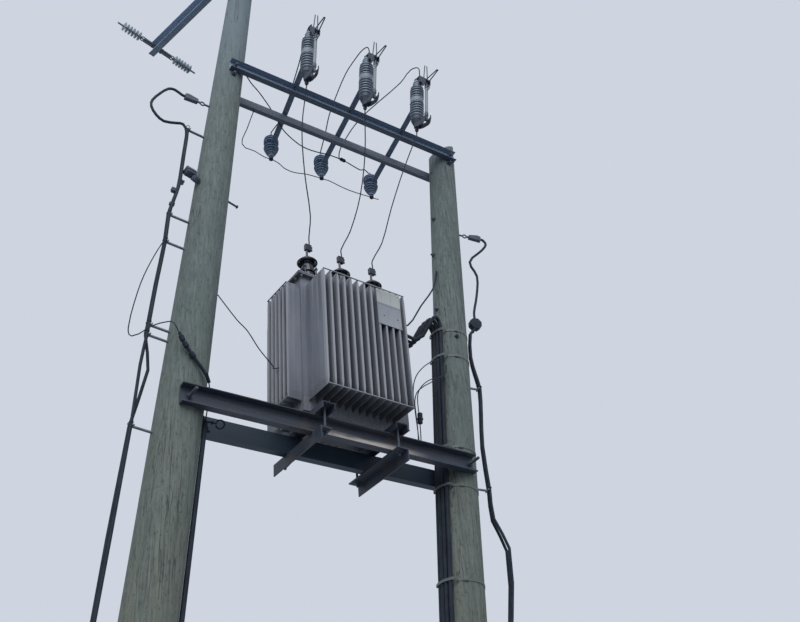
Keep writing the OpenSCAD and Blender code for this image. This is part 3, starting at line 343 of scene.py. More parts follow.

# %% [markdown]
# Porcelain is smooth and glazed, so its colour hardly varies and the gloss does the work: a low
# roughness with a little dust that lies on the upper sides. The dust uses the height of the
# surface's normal, which is the same from every side that it is looked at from, and the same number
# puts painted shade on the undersides of the ribs: where the surface looks down, its tone is made
# darker. Grime is a noise that is drawn out up and down.

# %% Glazed porcelain, brown and grey
def glaze(name, dark_tone, light_tone, dust_tone, rough, dust_share, painted_shade):
    ware = Finish(name)
    up = ware.upward()
    cloud = ware.noise(ware.place, 22.0, 5.0, 0.6)
    grime = ware.noise(ware.stretched(40, 40, 9), 1.0, 4.0, 0.6)
    dust = (up.between(0.1, 0.9) * 0.6 + cloud.between(0.45, 0.75) * 0.4).held()
    tone = ware.layers(ware.mix(cloud, dark_tone, light_tone), (dust * dust_share, dust_tone),
                       (grime.between(0.55, 0.72) * 0.45, tuple(v * 0.5 for v in dark_tone)),
                       # painted shade: where the surface looks down, the undersides of the ribs are darkened by
                       # this share
                       ((1 - up.between(-0.75, -0.15)) * painted_shade, tuple(v * 0.45 for v in dark_tone)))
    ware.finish(tone, dust * 0.4 + rough, 0.0, ware.bump(cloud, 0.0004))


glaze("brown_porcelain", (0.008, 0.011, 0.019), (0.018, 0.022, 0.036), (0.045, 0.055, 0.080),
      0.16, 0.3, 0.6)
glaze("grey_porcelain", (0.140, 0.185, 0.245), (0.198, 0.245, 0.305), (0.215, 0.255, 0.310),
      0.36, 0.4, 0.25)

# %% [markdown]
# The surge arresters have a moulded polymer housing, the castings and most bolts are a dull dark
# metal, and the cables have a matt black sheath. All three are a little mottled and none is shiny.
# The sheath reflects least, because a black thing under a bright surround looks grey otherwise.

# %% Polymer, dull metal and sheath
def plain_finish(name, first, second, scale, rough, relief, metal=0.0, shine=0.5):
    stuff = Finish(name)
    cloud = stuff.noise(stuff.place, scale, 5.0, 0.6)
    fine = stuff.noise(stuff.place, scale * 6, 3.0, 0.6)
    tone = stuff.layers(stuff.mix(cloud.between(0.3, 0.7), first, second),
                        (fine.between(0.55, 0.8) * 0.4, tuple(min(v * 1.7, 0.9) for v in second)))
    stuff.finish(tone, cloud * 0.2 + rough, metal, stuff.bump(fine * 0.6 + cloud * 0.4, relief),
                 Specular_IOR_Level=shine)


plain_finish("dark_polymer", (0.135, 0.192, 0.292), (0.182, 0.245, 0.352), 16, 0.5, 0.0006)
plain_finish("dark_metal", (0.034, 0.046, 0.068), (0.062, 0.077, 0.106), 26, 0.45, 0.0008, metal=0.2)
plain_finish("black_cable", (0.010, 0.015, 0.025), (0.022, 0.030, 0.045), 10, 0.55, 0.0005, shine=0.2)

# %% [markdown]
# A fuse tube is grey glass fibre between a dark cast foot and a short metal cap. All three are one
# solid in the frame, and all three tubes have their hinge at nearly the same height, so the height
# above the hinge tells which of the three materials a point belongs to. The winding of the fibres is
# a fine wave along the tube.

# %% Fuse tube
FOOT_DROP, FOOT_TOP, CAP_FOOT, SOFT = 0.021, 0.072, 0.338, 0.001
WINDING_RATE = 900  # a turn of the winding every 7 mm
tube = Finish("grey_fibreglass")
height = tube.part("Z") - (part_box("fuse_tube_2")[0][2] + FOOT_DROP)
cloud = tube.noise(tube.stretched(1, 1, 0.2), 20.0, 5.0, 0.6)
weave = (height * WINDING_RATE + cloud * 2).wave()
foot = 1 - height.between(FOOT_TOP - SOFT, FOOT_TOP + SOFT)
cap = height.between(CAP_FOOT - SOFT, CAP_FOOT + SOFT)
tone = tube.layers(
    tube.mix(cloud.between(0.3, 0.7), (0.175, 0.200, 0.235), (0.240, 0.262, 0.295)),
    (weave * 0.2, (0.140, 0.160, 0.190)),
    ((foot + cap).held(), tube.mix(cloud, (0.040, 0.052, 0.076), (0.085, 0.100, 0.130))))
tube.finish(tone, cloud * 0.2 + 0.38, normal=tube.bump(weave, 0.0003))

# %% [markdown]
# The plate on the fins is bare: a pale sheet, yellowed in its upper part, with a thin dark line
# under that and a greyer, dustier lower part. The rain has left faint runs on it.

# %% Bare plate
plate_low, plate_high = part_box("blank_plate")
plate_height = plate_high[2] - plate_low[2]
sheet = Finish("pale_plate")
height = sheet.part("Z") - plate_low[2]
runs = sheet.noise(sheet.stretched(60, 60, 4), 1.0, 5.0, 0.65)
dusty = sheet.noise(sheet.place, 18.0, 5.0, 0.6)
line = height.window(*(plate_height * share for share in (0.560, 0.567, 0.580, 0.587)))
upper = height.between(plate_height * 0.60, plate_height * 0.64)
tone = sheet.layers(
    sheet.mix(dusty, (0.190, 0.203, 0.238), (0.245, 0.256, 0.290)),
    (upper * 0.85, (0.385, 0.400, 0.395)),
    (runs.between(0.5, 0.7) * 0.4, (0.150, 0.160, 0.185)),
    (line * 0.6, (0.080, 0.088, 0.105)))
sheet.finish(tone, dusty * 0.2 + 0.4, normal=sheet.bump(dusty, 0.0004))

# %% [markdown]
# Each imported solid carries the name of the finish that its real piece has, so one loop dresses them
# all. Some get a variant of that finish instead, and those are listed first. The solids' own meshes
# and places stay as they are; only their material slot changes.

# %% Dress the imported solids
special = {"rear_platform_beam": "dark_beam_steel_painted_shadow", "rear_crossarm": "pale_arm_steel",
           "line_arm": "line_arm_steel", "riser_straps": "strap_steel",
           "platform_bolts": "dark_metal", "crossarm_bolts": "dark_metal",
           "cable_connector": "black_cable",
           **{f"cutout_bracket_{k}": "bracket_steel" for k in (1, 2, 3)}}
finish_of = {name: special.get(name, slot_of[name]) for name in nodes}
for name, solid in nodes.items():
    solid.data.materials.clear()
    solid.data.materials.append(finishes[finish_of[name]])
print(len(nodes), "solids dressed in", len(set(finish_of.values())), "finishes")

# %% [markdown]
# What is still missing is the small hardware: nuts, washers, threads, weld beads, cable ties. Every
# such thing repeats, so it is modelled once at the origin, standing on its foot with Z up, and then
# copied to its places with a mesh of its own. The copies are joined, which keeps the list of pieces
# short. The first helpers change what is selected: back to object mode with nothing selected, and
# the parts of a mesh that pass a test.

# %% Selecting
def rest():
    """Object mode, with nothing selected."""
    if bpy.context.mode != "OBJECT":
        bpy.ops.object.mode_set(mode="OBJECT")
    bpy.ops.object.select_all(action="DESELECT")


def choose(kind, test):
    """In edit mode, selects only the faces, edges or vertices that pass the test."""
    bpy.ops.object.mode_set(mode="EDIT")
    bpy.ops.mesh.select_mode(type=kind)
    bpy.ops.mesh.select_all(action="DESELECT")
    mesh = bmesh.from_edit_mesh(bpy.context.object.data)
    for part in {"FACE": mesh.faces, "EDGE": mesh.edges, "VERT": mesh.verts}[kind]:
        if test(part):
            part.select_set(True)
    mesh.select_flush_mode()
    bmesh.update_edit_mesh(bpy.context.object.data)


print("ready to model")

# %% [markdown]
# The next helpers make the simple models that the hardware is put together from. Their sizes come in
# the order width, height and foot, where foot is the height at which the model stands.

# %% Simple models
HEX = 2 / math.sqrt(3)
WASHER, NUT = 0.0125, 0.0095


def prism(sides, radius, height, foot=0.0, chamfer=0.0):
    """A bar, washer, nut or head, with the corners turned off at both of its ends."""
    rest()
    bpy.ops.mesh.primitive_cylinder_add(vertices=sides, radius=radius, depth=height,
                                        location=(0, 0, foot + height / 2))
    if chamfer:
        choose("EDGE", lambda e: abs(e.verts[0].co.z - e.verts[1].co.z) < 1e-6)
        bpy.ops.mesh.bevel(offset=chamfer, segments=1)
    rest()
    return bpy.context.object


def hexagon(half_width, height, foot, chamfer=0.001):
    """A nut or a bolt's head, given by half its width across the flats."""
    return prism(6, half_width * HEX, height, foot, chamfer)


def box(size, middle):
    """A plain box round a point."""
    rest()
    bpy.ops.mesh.primitive_cube_add(size=1, location=middle)
    bpy.ops.transform.resize(value=size)
    bpy.ops.object.transform_apply()
    return bpy.context.object


def block(length, width, height, foot=0.0, bevel=0.001):
    """A small box that stands on z = foot, its edges rounded."""
    model = box((length, width, height), (0, 0, foot + height / 2))
    choose("EDGE", lambda e: True)
    bpy.ops.mesh.bevel(offset=bevel, segments=2)
    rest()
    return model


def torus(segments, sides, radius, thickness):
    """A flat-lying ring of round wire."""
    rest()
    bpy.ops.mesh.primitive_torus_add(major_segments=segments, minor_segments=sides,
                                     major_radius=radius, minor_radius=thickness)
    return bpy.context.object


def spun_loop(sides, thickness, radius, steps, degrees, leg=None):
    """Wire spun into a part of a ring, with a straight leg if one is given."""
    rest()
    bpy.ops.mesh.primitive_circle_add(vertices=sides, radius=thickness, location=(radius, 0, 0),
                                      fill_type="NGON", rotation=(math.radians(90), 0, 0))
    bpy.ops.object.transform_apply()
    choose("FACE", lambda f: True)
    bpy.ops.mesh.spin(steps=steps, angle=math.radians(-degrees), center=(0, 0, 0), axis=(0, 0, 1),
                      dupli=False)
    if leg:
        bpy.ops.mesh.extrude_region_move(TRANSFORM_OT_translate={"value": leg})
    rest()
    choose("FACE", lambda f: True)
    bpy.ops.mesh.remove_doubles(threshold=1e-6)
    bpy.ops.mesh.normals_make_consistent(inside=False)
    rest()
    return bpy.context.object


print("a 19 mm nut has a corner radius of", round(NUT * 1000 * HEX, 2), "mm")

# %% [markdown]
# The last helpers put models together and bring them to their places. Every finished piece goes
# through settle(), which also says what carries it and which kind of finish it has.

# %% Putting together
def aside(model, x):
    """Moves a model's mesh along X."""
    model.data.transform(Matrix.Translation((x, 0, 0)))
    return model


def joined(*parts):
    """Makes one model of its parts, with its place in its mesh."""
    rest()
    for part in parts:
        part.select_set(True)
    bpy.context.view_layer.objects.active = parts[0]
    bpy.ops.object.join()
    bpy.ops.object.transform_apply()
    return bpy.context.object


def through_bolt(radius, length, foot, washer, head_washer, head, nut_washer, nut):
    """A bolt with two washers of one thickness; its foot and the last four numbers are heights."""
    return joined(prism(12, radius, length, foot, 0.001),
                  prism(18, WASHER, washer, head_washer), hexagon(NUT, 0.0078, head),
                  prism(18, WASHER, washer, nut_washer), hexagon(NUT, 0.0100, nut))


def settle(piece, name, finish, body="structure"):
    """Names a finished piece, gives it its finish, and says what carries it."""
    rest()
    piece.select_set(True)
    bpy.context.view_layer.objects.active = piece
    bpy.ops.object.transform_apply()
    bpy.ops.object.shade_smooth_by_angle(angle=math.radians(32))
    piece.name = piece.data.name = name
    piece.data.materials.clear()
    piece.data.materials.append(finishes[finish])
    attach(piece, body)
    print(name, len(piece.data.polygons), "faces")
    return piece


def spread(model, name, places, finish, body="structure", keep=False):
    """Copies a model to each place, joins the copies to one piece and removes the model."""
    rest()
    for place in places:
        copy = model.copy()
        copy.data = model.data.copy()
        copy.data.transform(place)
        bpy.context.scene.collection.objects.link(copy)
        copy.select_set(True)
        bpy.context.view_layer.objects.active = copy
    bpy.ops.object.join()
    piece = settle(bpy.context.object, name, finish, body)
    if not keep:
        bpy.data.objects.remove(model)
    return piece


def stand(point, way=(0, 0, 1), turn=0.0):
    """A matrix that stands a model on a point, its Z along a direction."""
    return (Matrix.Translation(point) @ Vector(way).to_track_quat("Z", "Y").to_matrix().to_4x4()
            @ Matrix.Rotation(turn, 4, "Z"))


print("an upright model stands at", stand((0, 0, 1)).translation[:])

# %% [markdown]
# The transformer stands turned a little on its platform, and the poles lean. Each gets a frame of its
# own, so that the places of its fittings are round numbers: the tank's frame has its origin on the
# platform under the tank's middle, and a pole's frame has its Z along the timber. The poles' girth
# at a few heights gives the distance from the axis to the surface.

# %% Frames of the tank and the poles
UNIT_TURN = 2.4
TANK_HALF_X, TANK_HALF_Y, FLANGE_OUT = 0.400, 0.160, 0.033
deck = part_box("front_platform_beam")[1][2]
unit = Matrix.Translation((tank_x, tank_y, deck)) @ Matrix.Rotation(math.radians(UNIT_TURN), 4, "Z")
lid_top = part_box("tank_cover")[1][2] - deck
lean = (Matrix.Rotation(math.radians(LEAN_SIDE), 4, "Y")
        @ Matrix.Rotation(math.radians(LEAN_FRONT), 4, "X"))
pole_frame = {"left": lean, "right": Matrix.Translation((POLE_SPACING, 0, 0)) @ lean}
pole_girth = {"left": ((0.0, 0.190), (5.0, 0.1545), (8.27, 0.118), (10.1, 0.098)),
              "right": ((0.0, 0.1665), (5.0, 0.145), (8.39, 0.118))}


def timber_radius(side, height):
    for (low, wide), (high, narrow) in zip(pole_girth[side], pole_girth[side][1:]):
        if height <= high:
            return wide + (narrow - wide) * (height - low) / (high - low)
    return narrow


def on_pole(side, height, angle, out=0.0):
    """A frame on a pole's surface: X outwards, Y round the pole and Z along it."""
    return (pole_frame[side] @ Matrix.Rotation(math.radians(angle), 4, "Z")
            @ Matrix.Translation((timber_radius(side, height) + out, 0, height)))


outwards = Matrix.Rotation(math.radians(90), 4, "Y")
quarter = Matrix.Rotation(math.radians(90), 4, "Z")
print("lid top", round(lid_top, 3), "m above the platform")

# %% [markdown]
# The lid is held down by bolts all round, through the lid and the tank's flange. From below one sees
# their nuts and the ends of the bolts, from above their heads.

# %% Lid bolts
LONG_STEP, SHORT_STEP = 0.1, 0.08
lid_bolt = through_bolt(0.0062, 0.050, -0.042, 0.002, 0.0, 0.002, -0.024, -0.034)
edge_x, edge_y = TANK_HALF_X + FLANGE_OUT / 2, TANK_HALF_Y + FLANGE_OUT / 2
lid_places = [(x * LONG_STEP, side * edge_y) for x in range(-4, 5) for side in (-1, 1)]
lid_places += [(side * edge_x, y * SHORT_STEP) for y in (-1.5, -0.5, 0.5, 1.5) for side in (-1, 1)]
spread(lid_bolt, "lid_bolts",
       [unit @ stand((x, y, lid_top), turn=x * 7 + y * 5) for x, y in lid_places], "galvanised_steel")

# %% [markdown]
# A rubber gasket shows as a thin dark line between the lid and the flange. It is a low box whose top
# and bottom are taken off, so that only the band round the edge is left, with a little thickness.

# %% Gasket
PROUD, GASKET_HEIGHT, GASKET_DOWN = 0.0016, 0.004, 0.012
gasket = box((2 * (TANK_HALF_X + FLANGE_OUT) + PROUD, 2 * (TANK_HALF_Y + FLANGE_OUT) + PROUD,
              GASKET_HEIGHT), (0, 0, lid_top - GASKET_DOWN))
choose("FACE", lambda f: abs(f.normal.z) > 0.9)
bpy.ops.mesh.delete(type="FACE")
rest()
gasket.select_set(True)
wall = gasket.modifiers.new("wall", "SOLIDIFY")
wall.thickness, wall.offset, wall.use_even_offset = 0.003, -1.0, True
bpy.ops.object.modifier_apply(modifier="wall")
gasket.data.transform(unit)
settle(gasket, "lid_gasket", "black_cable")

# %% [markdown]
# Along the top and the foot of each row of fins runs a bar that is welded to every fin. The welds
# are small uneven lumps, so a squashed sphere stands for one, turned differently each time.

# %% Weld lumps on the fin bars
FIN_PITCH, END_PITCH, LONG_REACH, END_REACH = 0.059, 0.054, 0.253, 0.110
BAR_HEIGHTS, LUMP_INSET = (0.140, 1.130), 0.0035
rest()
bpy.ops.mesh.primitive_ico_sphere_add(subdivisions=2, radius=0.0078)
bpy.ops.transform.resize(value=(1.0, 0.75, 0.85))
lump = bpy.context.object
bpy.ops.object.transform_apply()
long_y, end_x = TANK_HALF_Y + LONG_REACH - LUMP_INSET, TANK_HALF_X + END_REACH - LUMP_INSET
spots = [((k - 6) * FIN_PITCH, side * long_y, z)
         for k in range(13) for side in (-1, 1) for z in BAR_HEIGHTS]
spots += [(side * end_x, (k - 2.5) * END_PITCH, z)
          for k in range(6) for side in (-1, 1) for z in BAR_HEIGHTS]
spread(lump, "fin_bar_welds", [unit @ stand(spot, turn=k * 1.3) for k, spot in enumerate(spots)],
       "grey_paint")

# %% [markdown]
# The plate on the front fins is a thin pressed sheet: its rim stands a little proud of its field, and
# a rivet holds each corner. Two small holes in its lower half are black discs, painted shadow that
# stands for the dark insides of the holes.

# %% Pressed sheet, rivets, and black discs painted as the plate's holes
PLATE_X, PLATE_Z, PLATE_W, PLATE_H, SHEET_T, RIVET_INSET = 0.210, 0.955, 0.212, 0.320, 0.0016, 0.016
front = -(TANK_HALF_Y + LONG_REACH + 0.003)
pressed = box((PLATE_W, SHEET_T, PLATE_H), (PLATE_X, front - SHEET_T / 2, PLATE_Z))
choose("FACE", lambda f: f.normal.y < -0.9)
bpy.ops.mesh.inset(thickness=0.006)
bpy.ops.mesh.inset(thickness=0.002, depth=-0.0010)
rest()
pressed.data.transform(unit)
settle(pressed, "plate_sheet", "pale_plate")
field = front - 0.0006
corners = [(PLATE_X + a * (PLATE_W / 2 - RIVET_INSET), field, PLATE_Z + b * (PLATE_H / 2 - RIVET_INSET))
           for a in (-1, 1) for b in (-1, 1)]
spread(prism(14, 0.0052, 0.0022, -0.0004, 0.0012), "plate_rivets",
       [unit @ stand(p, (0, -1, 0)) for p in corners], "galvanised_steel")
# painted shadow: black discs stand for the dark insides of two holes
holes = [(PLATE_X + a * PLATE_W, field, PLATE_Z - PLATE_H * 0.24) for a in (-0.24, 0.34)]
spread(prism(14, 0.0058, 0.0012, -0.0004, 0.0004), "painted_shadow_plate_holes",
       [unit @ stand(p, (0, -1, 0)) for p in holes], "black_cable")

# %% [markdown]
# The through bolts are long and their threads stand far out in front of the beams. A thread at this
# size reads as a row of rings, one for each pitch, which is a lighter mesh than a true helix.

# %% Threads of the through bolts
PITCH, BOLT_WASHER = 0.0027, 0.022
ARM_RISE = 0.0875  # from the rear crossarm's bolts up to those of the front one
tails = []
for node, length in (("platform_bolts", 0.098), ("crossarm_bolts", 0.028)):
    low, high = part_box(node)
    first, bolt_z = low[0] + BOLT_WASHER, (low[2] + high[2]) / 2
    if node == "crossarm_bolts":
        first, bolt_z = first + ARM_RISE * side_rate, high[2] - BOLT_WASHER
    for x in (first, first + POLE_SPACING):
        tails += [stand((x, low[1] + PITCH * (k + 0.6), bolt_z), (0, -1, 0))
                  for k in range(int(length / PITCH))]
spread(torus(18, 6, 0.0099, 0.0012), "bolt_threads", tails, "dark_metal")

# %% [markdown]
# The transformer's skids are pulled down on the beams by four rods through the clamp angles. Each rod
# has a square plate washer at both ends, and its thread shows below the nut.

# %% Plate washers and rod threads
ROD_X, ROD_Y, CLAMP_T, ROD_PITCH = 0.3025, 0.265, 0.008, 0.0026
rods = [(x * ROD_X, y * ROD_Y) for x in (-1, 1) for y in (-1, 1)]
clamp_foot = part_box("left_clamp_angle")[1][2] - deck - CLAMP_T
skid_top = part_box("left_skid")[1][2] - deck
rod_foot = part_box("hold_down_rods")[0][2] - deck
spread(block(0.050, 0.050, 0.005, 0.0, 0.0012), "plate_washers",
       [unit @ stand((x, y, z), turn=0.2 * x)
        for x, y in rods for z in (clamp_foot - 0.0051, skid_top + 0.0001)], "dark_metal")
spread(torus(16, 6, 0.0089, 0.0011), "rod_threads",
       [unit @ stand((x, y, rod_foot + 0.0012 + ROD_PITCH * k)) for x, y in rods for k in range(7)],
       "dark_metal")

# %% [markdown]
# Each bracket is bolted to both crossarms, and its band is drawn up on the insulator by a bolt that
# also goes through the bracket. The frame's joints say where the hinge pins are, and everything on a
# cut-out can be measured from there: the pin's direction gives the turn, and the tilt is known.

# %% Bolts of the brackets and bands
CUTOUT_TILT, TUBE_FORWARD, HINGE_DROP, BAND_BACK, BOLT_ASIDE = 9.5, 0.152, 0.300, 0.061, 0.006
hinges = []
for joint in sorted(frame["joints"], key=lambda joint: joint["name"]):
    turn = math.atan2(joint["axis"][1], joint["axis"][0])
    place = (Matrix.Translation(joint["pos_m"]) @ Matrix.Rotation(turn, 4, "Z")
             @ Matrix.Rotation(math.radians(CUTOUT_TILT), 4, "X"))
    hinges.append((joint["child"], turn, place))
spread(through_bolt(0.0060, 0.088, -0.036, 0.002, -0.0205, -0.0283, 0.0252, 0.0272), "band_bolts",
       [place @ stand((0, TUBE_FORWARD + BAND_BACK, HINGE_DROP), (1, 0, 0))
        for body, turn, place in hinges], "dark_metal")
rear_low, rear_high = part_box("rear_crossarm")
bolt_lines = ((arm_high[1] - 0.025, arm_high[2]), (rear_low[1] + 0.020, rear_high[2]))
arm_places = []
for body, turn, place in hinges:
    middle = place @ Vector((-BOLT_ASIDE, TUBE_FORWARD, HINGE_DROP))
    arm_places += [stand((middle.x - (y - middle.y) * math.tan(turn), y, top)) for y, top in bolt_lines]
spread(through_bolt(0.0060, 0.062, -0.034, 0.0025, 0.0165, 0.019, -0.0105, -0.0205), "bracket_bolts",
       arm_places, "dark_metal")

# %% [markdown]
# A split pin at each end keeps a hinge pin in its casting. It is a loop of thin wire with a straight
# leg: a small disc spun most of the way round makes the loop, and the leg is drawn out of its end.
# The pins ride with their fuse tube.

# %% Split pins
PIN_END = 0.0285
wire = spun_loop(8, 0.0012, 0.0045, 12, 290, (-0.010, 0.014, 0))
for k, (body, turn, place) in enumerate(hinges, 1):
    ends = [place @ stand((side * PIN_END, 0, 0), (0, 1, 0), 0.5) for side in (-1, 1)]
    spread(wire, f"split_pin_{k}", ends, "galvanised_steel", body, keep=True)
bpy.data.objects.remove(wire)

# %% [markdown]
# The high voltage bushings are clamped down at their collars: four studs stand round each, and a
# short clip under a nut reaches over the collar's edge. The low voltage ones have a lock nut and a
# nut on the stud, under the cable's end.

# %% Studs, clips and nuts of the bushings
HV_PITCH, HV_FORWARD, LV_PITCH, LV_BACK, STUD_RING = 0.300, -0.102, 0.110, 0.095, 0.069
clip = aside(block(0.034, 0.017, 0.008, 0.0975, 0.0015), -0.006)
stud = joined(prism(10, 0.0050, 0.122, 0.0, 0.001), clip, hexagon(0.0085, 0.0085, 0.106),
              hexagon(0.0085, 0.0085, 0.0))
spread(stud, "bushing_studs",
       [unit @ Matrix.Translation((k * HV_PITCH, HV_FORWARD, lid_top)) @ Matrix.Rotation(turn, 4, "Z")
        @ Matrix.Translation((STUD_RING, 0, 0))
        for k in (-1, 0, 1) for turn in (0.8, 2.37, 3.94, 5.51)], "dark_metal")
spread(joined(hexagon(0.016, 0.011, 0.097, 0.0015), hexagon(0.016, 0.013, 0.112, 0.0015)), "stud_nuts",
       [unit @ stand((x * LV_PITCH, LV_BACK, lid_top), turn=x) for x in (-1.5, -0.5, 0.5, 1.5)],
       "galvanised_steel")

# %% [markdown]
# On the poles there are a step bolt, the ends of a few more bolts, the buckles of the straps that
# hold the riser cables, and at the left pole the clamps of the service cables: ribbed blocks of dark
# metal, each with a bolt through it.

# %% Step bolt and bolt ends
step = joined(prism(12, 0.0085, 0.135, -0.020, 0.001), prism(12, 0.0150, 0.006, 0.104, 0.0015),
              hexagon(0.0130, 0.013, 0.004, 0.0015))
spread(step, "step_bolt", [on_pole("left", 6.885, 12) @ outwards], "dark_metal")
stub = joined(prism(4, 0.026, 0.004, 0.0, 0.001), hexagon(0.0130, 0.013, 0.004, 0.0015),
              prism(12, 0.0080, 0.026, 0.004, 0.001))
stub_spots = ((7.460, 186), (7.050, 176), (6.430, 186), (6.120, 255))
spread(stub, "pole_bolt_ends", [on_pole("right", *spot) @ outwards for spot in stub_spots],
       "dark_metal")

# %% Strap buckles
STRAP_HEIGHTS, STRAP_HALF, STRAP_T = (1.2, 2.6, 4.04, 4.76, 5.08, 5.915, 6.17), 0.010, 0.0025
buckle = joined(block(0.034, 0.026, 0.006, 0.0, 0.0015), block(0.006, 0.030, 0.009, 0.0, 0.0015))
spread(buckle, "strap_buckles",
       [on_pole("right", height + STRAP_HALF, 236 + 3 * k, STRAP_T) @ outwards @ quarter
        for k, height in enumerate(STRAP_HEIGHTS)], "strap_steel")

# %% Cable clamps on the left pole
RIB_STEP = 0.015
jaw = block(0.078, 0.056, 0.030, 0.0, 0.006)
ribs = [aside(block(0.0045, 0.062, 0.034, -0.002, 0.0018), (k - 2) * RIB_STEP) for k in range(5)]
lower_jaw = block(0.070, 0.050, 0.026, -0.028, 0.006)
clamp_bolt = joined(prism(12, 0.0045, 0.092, -0.040, 0.001), hexagon(0.0075, 0.010, 0.036))
cable_clamp = joined(jaw, *ribs, lower_jaw, clamp_bolt)
clamp_spots = ((6.945, 190, 0.070, 0.4, 1.15), (6.880, 202, 0.034, 1.0, 0.75),
               (6.850, 181, 0.112, -0.3, 0.55), (6.745, 180, 0.150, 0.2, 0.62),
               (6.600, 182, 0.150, 1.2, 0.5))
spread(cable_clamp, "service_cable_clamps",
       [on_pole("left", height, angle, out) @ Matrix.Rotation(turn, 4, "X") @ Matrix.Scale(size, 4)
        for height, angle, out, turn, size in clamp_spots], "dark_metal")

# %% [markdown]
# Black ties hold the service cables together where they pass a standoff. A tie is a thin ring
# pulled out to an oval round the two cables: one half of a torus is moved to each side.

# %% Cable ties
TIE_UP, TIE_ACROSS = 0.020, 0.0128


def tie(half_gap):
    model = torus(20, 6, TIE_ACROSS, 0.0016)
    bpy.ops.transform.resize(value=(1, 1, 2.2))
    bpy.ops.object.transform_apply()
    for side in (-1, 1):
        choose("VERT", lambda v: v.co.y * side > 1e-5)
        bpy.ops.transform.translate(value=(0, side * half_gap, 0))
    rest()
    return model


right_stays = ((1.400, 0.072), (3.000, 0.072), (4.833, 0.102), (5.731, 0.089))
left_stays = ((1.500, 0.142), (3.200, 0.142), (4.705, 0.144), (5.405, 0.152), (5.486, 0.152),
              (6.230, 0.149), (6.488, 0.160), (7.410, 0.146))
for side, angle, half_gap, stays in (("right", -15, 0.0165, right_stays),
                                     ("left", 182, 0.0150, left_stays)):
    spread(tie(half_gap), side + "_cable_ties",
           [on_pole(side, height + TIE_UP, angle, out) for height, out in stays], "black_cable")

# %% [markdown]
# On the inner side of the left pole, between the two beams, a small eye hook is bolted on. Its shank
# is a bar and its eye is spun like the loop of the split pin, only larger. A block with a bolt of its
# own sits below it.

# %% Eye hook
eye = spun_loop(10, 0.0055, 0.028, 22, 320)
eye.data.transform(Matrix.Translation((0, 0, 0.118)) @ Matrix.Rotation(math.radians(90), 4, "X")
                   @ Matrix.Rotation(math.radians(-70), 4, "Z"))
hook = joined(prism(12, 0.0060, 0.105, -0.010, 0.001), eye, prism(4, 0.034, 0.006, 0.0, 0.001),
              hexagon(0.0120, 0.012, 0.006, 0.0015), hexagon(0.0120, 0.012, 0.060, 0.0015))
spread(hook, "eye_hook", [on_pole("left", 4.885, -8) @ outwards @ Matrix.Rotation(0.5, 4, "Z")],
       "black_cable")

# %% Bolted block under the hook
bolted_block = joined(block(0.070, 0.052, 0.028, 0.0, 0.004), block(0.030, 0.062, 0.050, 0.0, 0.004),
                      hexagon(0.0120, 0.012, 0.050, 0.0015), prism(12, 0.0080, 0.026, 0.050, 0.001))
spread(bolted_block, "pole_bolted_block", [on_pole("left", 4.842, 4, -0.004) @ outwards],
       "black_cable")

# %% [markdown]
# Where the neutral wire crosses the left pole it is wrapped thickly in tape, which has slipped into
# lumps. One lump is a short bar with its corners turned off; a row of them follows the wire.

# %% Tape on the neutral wire
WRAP_STEP = 0.030
route = [Vector(p) for p in ((0.268, -0.247, 5.362), (0.290, -0.246, 5.320), (0.340, -0.248, 5.252),
                             (0.390, -0.249, 5.190), (0.430, -0.247, 5.145), (0.465, -0.242, 5.105),
                             (0.495, -0.216, 5.068))]
wraps = []
for start, end in zip(route, route[1:]):
    steps = max(1, round((end - start).length / WRAP_STEP))
    wraps += [stand(start.lerp(end, k / steps), end - start, k * 0.7) for k in range(steps)]
spread(prism(12, 0.0115, 0.046, -0.023, 0.004), "neutral_wire_tape", wraps, "black_cable")
spread(prism(12, 0.0180, 0.046, -0.023, 0.006), "neutral_wire_lumps", [wraps[1], wraps[3], wraps[6]],
       "black_cable")

# %% [markdown]
# On the line arm every insulator string is held by a strap link: two flat bars on a pin, with a ring
# at their outer end. The arm's frame is that of the CAD: it stands across the pole's leaning axis.

# %% Strap links of the insulator strings
ARM_FOOT, ARM_DEPTH, ARM_TURN, STRING_X, WEB_FRONT, WEB_BACK = 9.560, 0.140, -76, 1.190, -0.100, -0.092
PIN_UP, RING_UP, BAR_ASIDE = 0.045, 0.168, 0.0175
arm_middle = ARM_FOOT + ARM_DEPTH / 2
arm_frame = (Matrix.Translation((arm_middle * side_rate, -arm_middle * front_rate, arm_middle))
             @ Matrix.Rotation(math.radians(ARM_TURN), 4, "Z"))
link_ring = torus(20, 8, 0.024, 0.0055)
link_ring.data.transform(Matrix.Translation((0, 0, RING_UP))
                         @ Matrix.Rotation(math.radians(90), 4, "X"))
link_pin = joined(prism(12, 0.0060, 0.058, -0.029, 0.001), hexagon(NUT, 0.009, 0.0215))
link_pin.data.transform(Matrix.Translation((0, 0, PIN_UP)) @ outwards)
bars = [aside(block(0.006, 0.024, 0.130, 0.022, 0.002), side * BAR_ASIDE) for side in (-1, 1)]
spread(joined(*bars, link_pin, link_ring), "string_links",
       [arm_frame @ stand((x * STRING_X, y, 0), (0, way, 0))
        for x in (-1, 0.5, 1) for y, way in ((WEB_FRONT, -1), (WEB_BACK, 1))], "dark_metal")

# %% [markdown]
# Two more thin wires stand up from the front beam beside the tank and lean over to the riser on the
# right pole, and one has a black sleeve near its foot. A NURBS path bends smoothly past a few points;
# with a bevel depth it becomes a round wire, which is then turned into a mesh.

# %% Loose wires beside the tank
def wire_along(points, radius=0.0040):
    """A thin round wire that bends smoothly past its points."""
    rest()
    bpy.ops.curve.primitive_nurbs_path_add()
    path = bpy.context.object
    spline = path.data.splines[0]
    spline.points.add(len(points) - len(spline.points))
    for knot, point in zip(spline.points, points):
        knot.co = (*point, 1.0)
    spline.order_u, spline.use_endpoint_u, spline.resolution_u = 4, True, 8
    path.data.bevel_depth, path.data.bevel_resolution, path.data.use_fill_caps = radius, 2, True
    bpy.ops.object.convert(target="MESH")
    return joined(bpy.context.object)


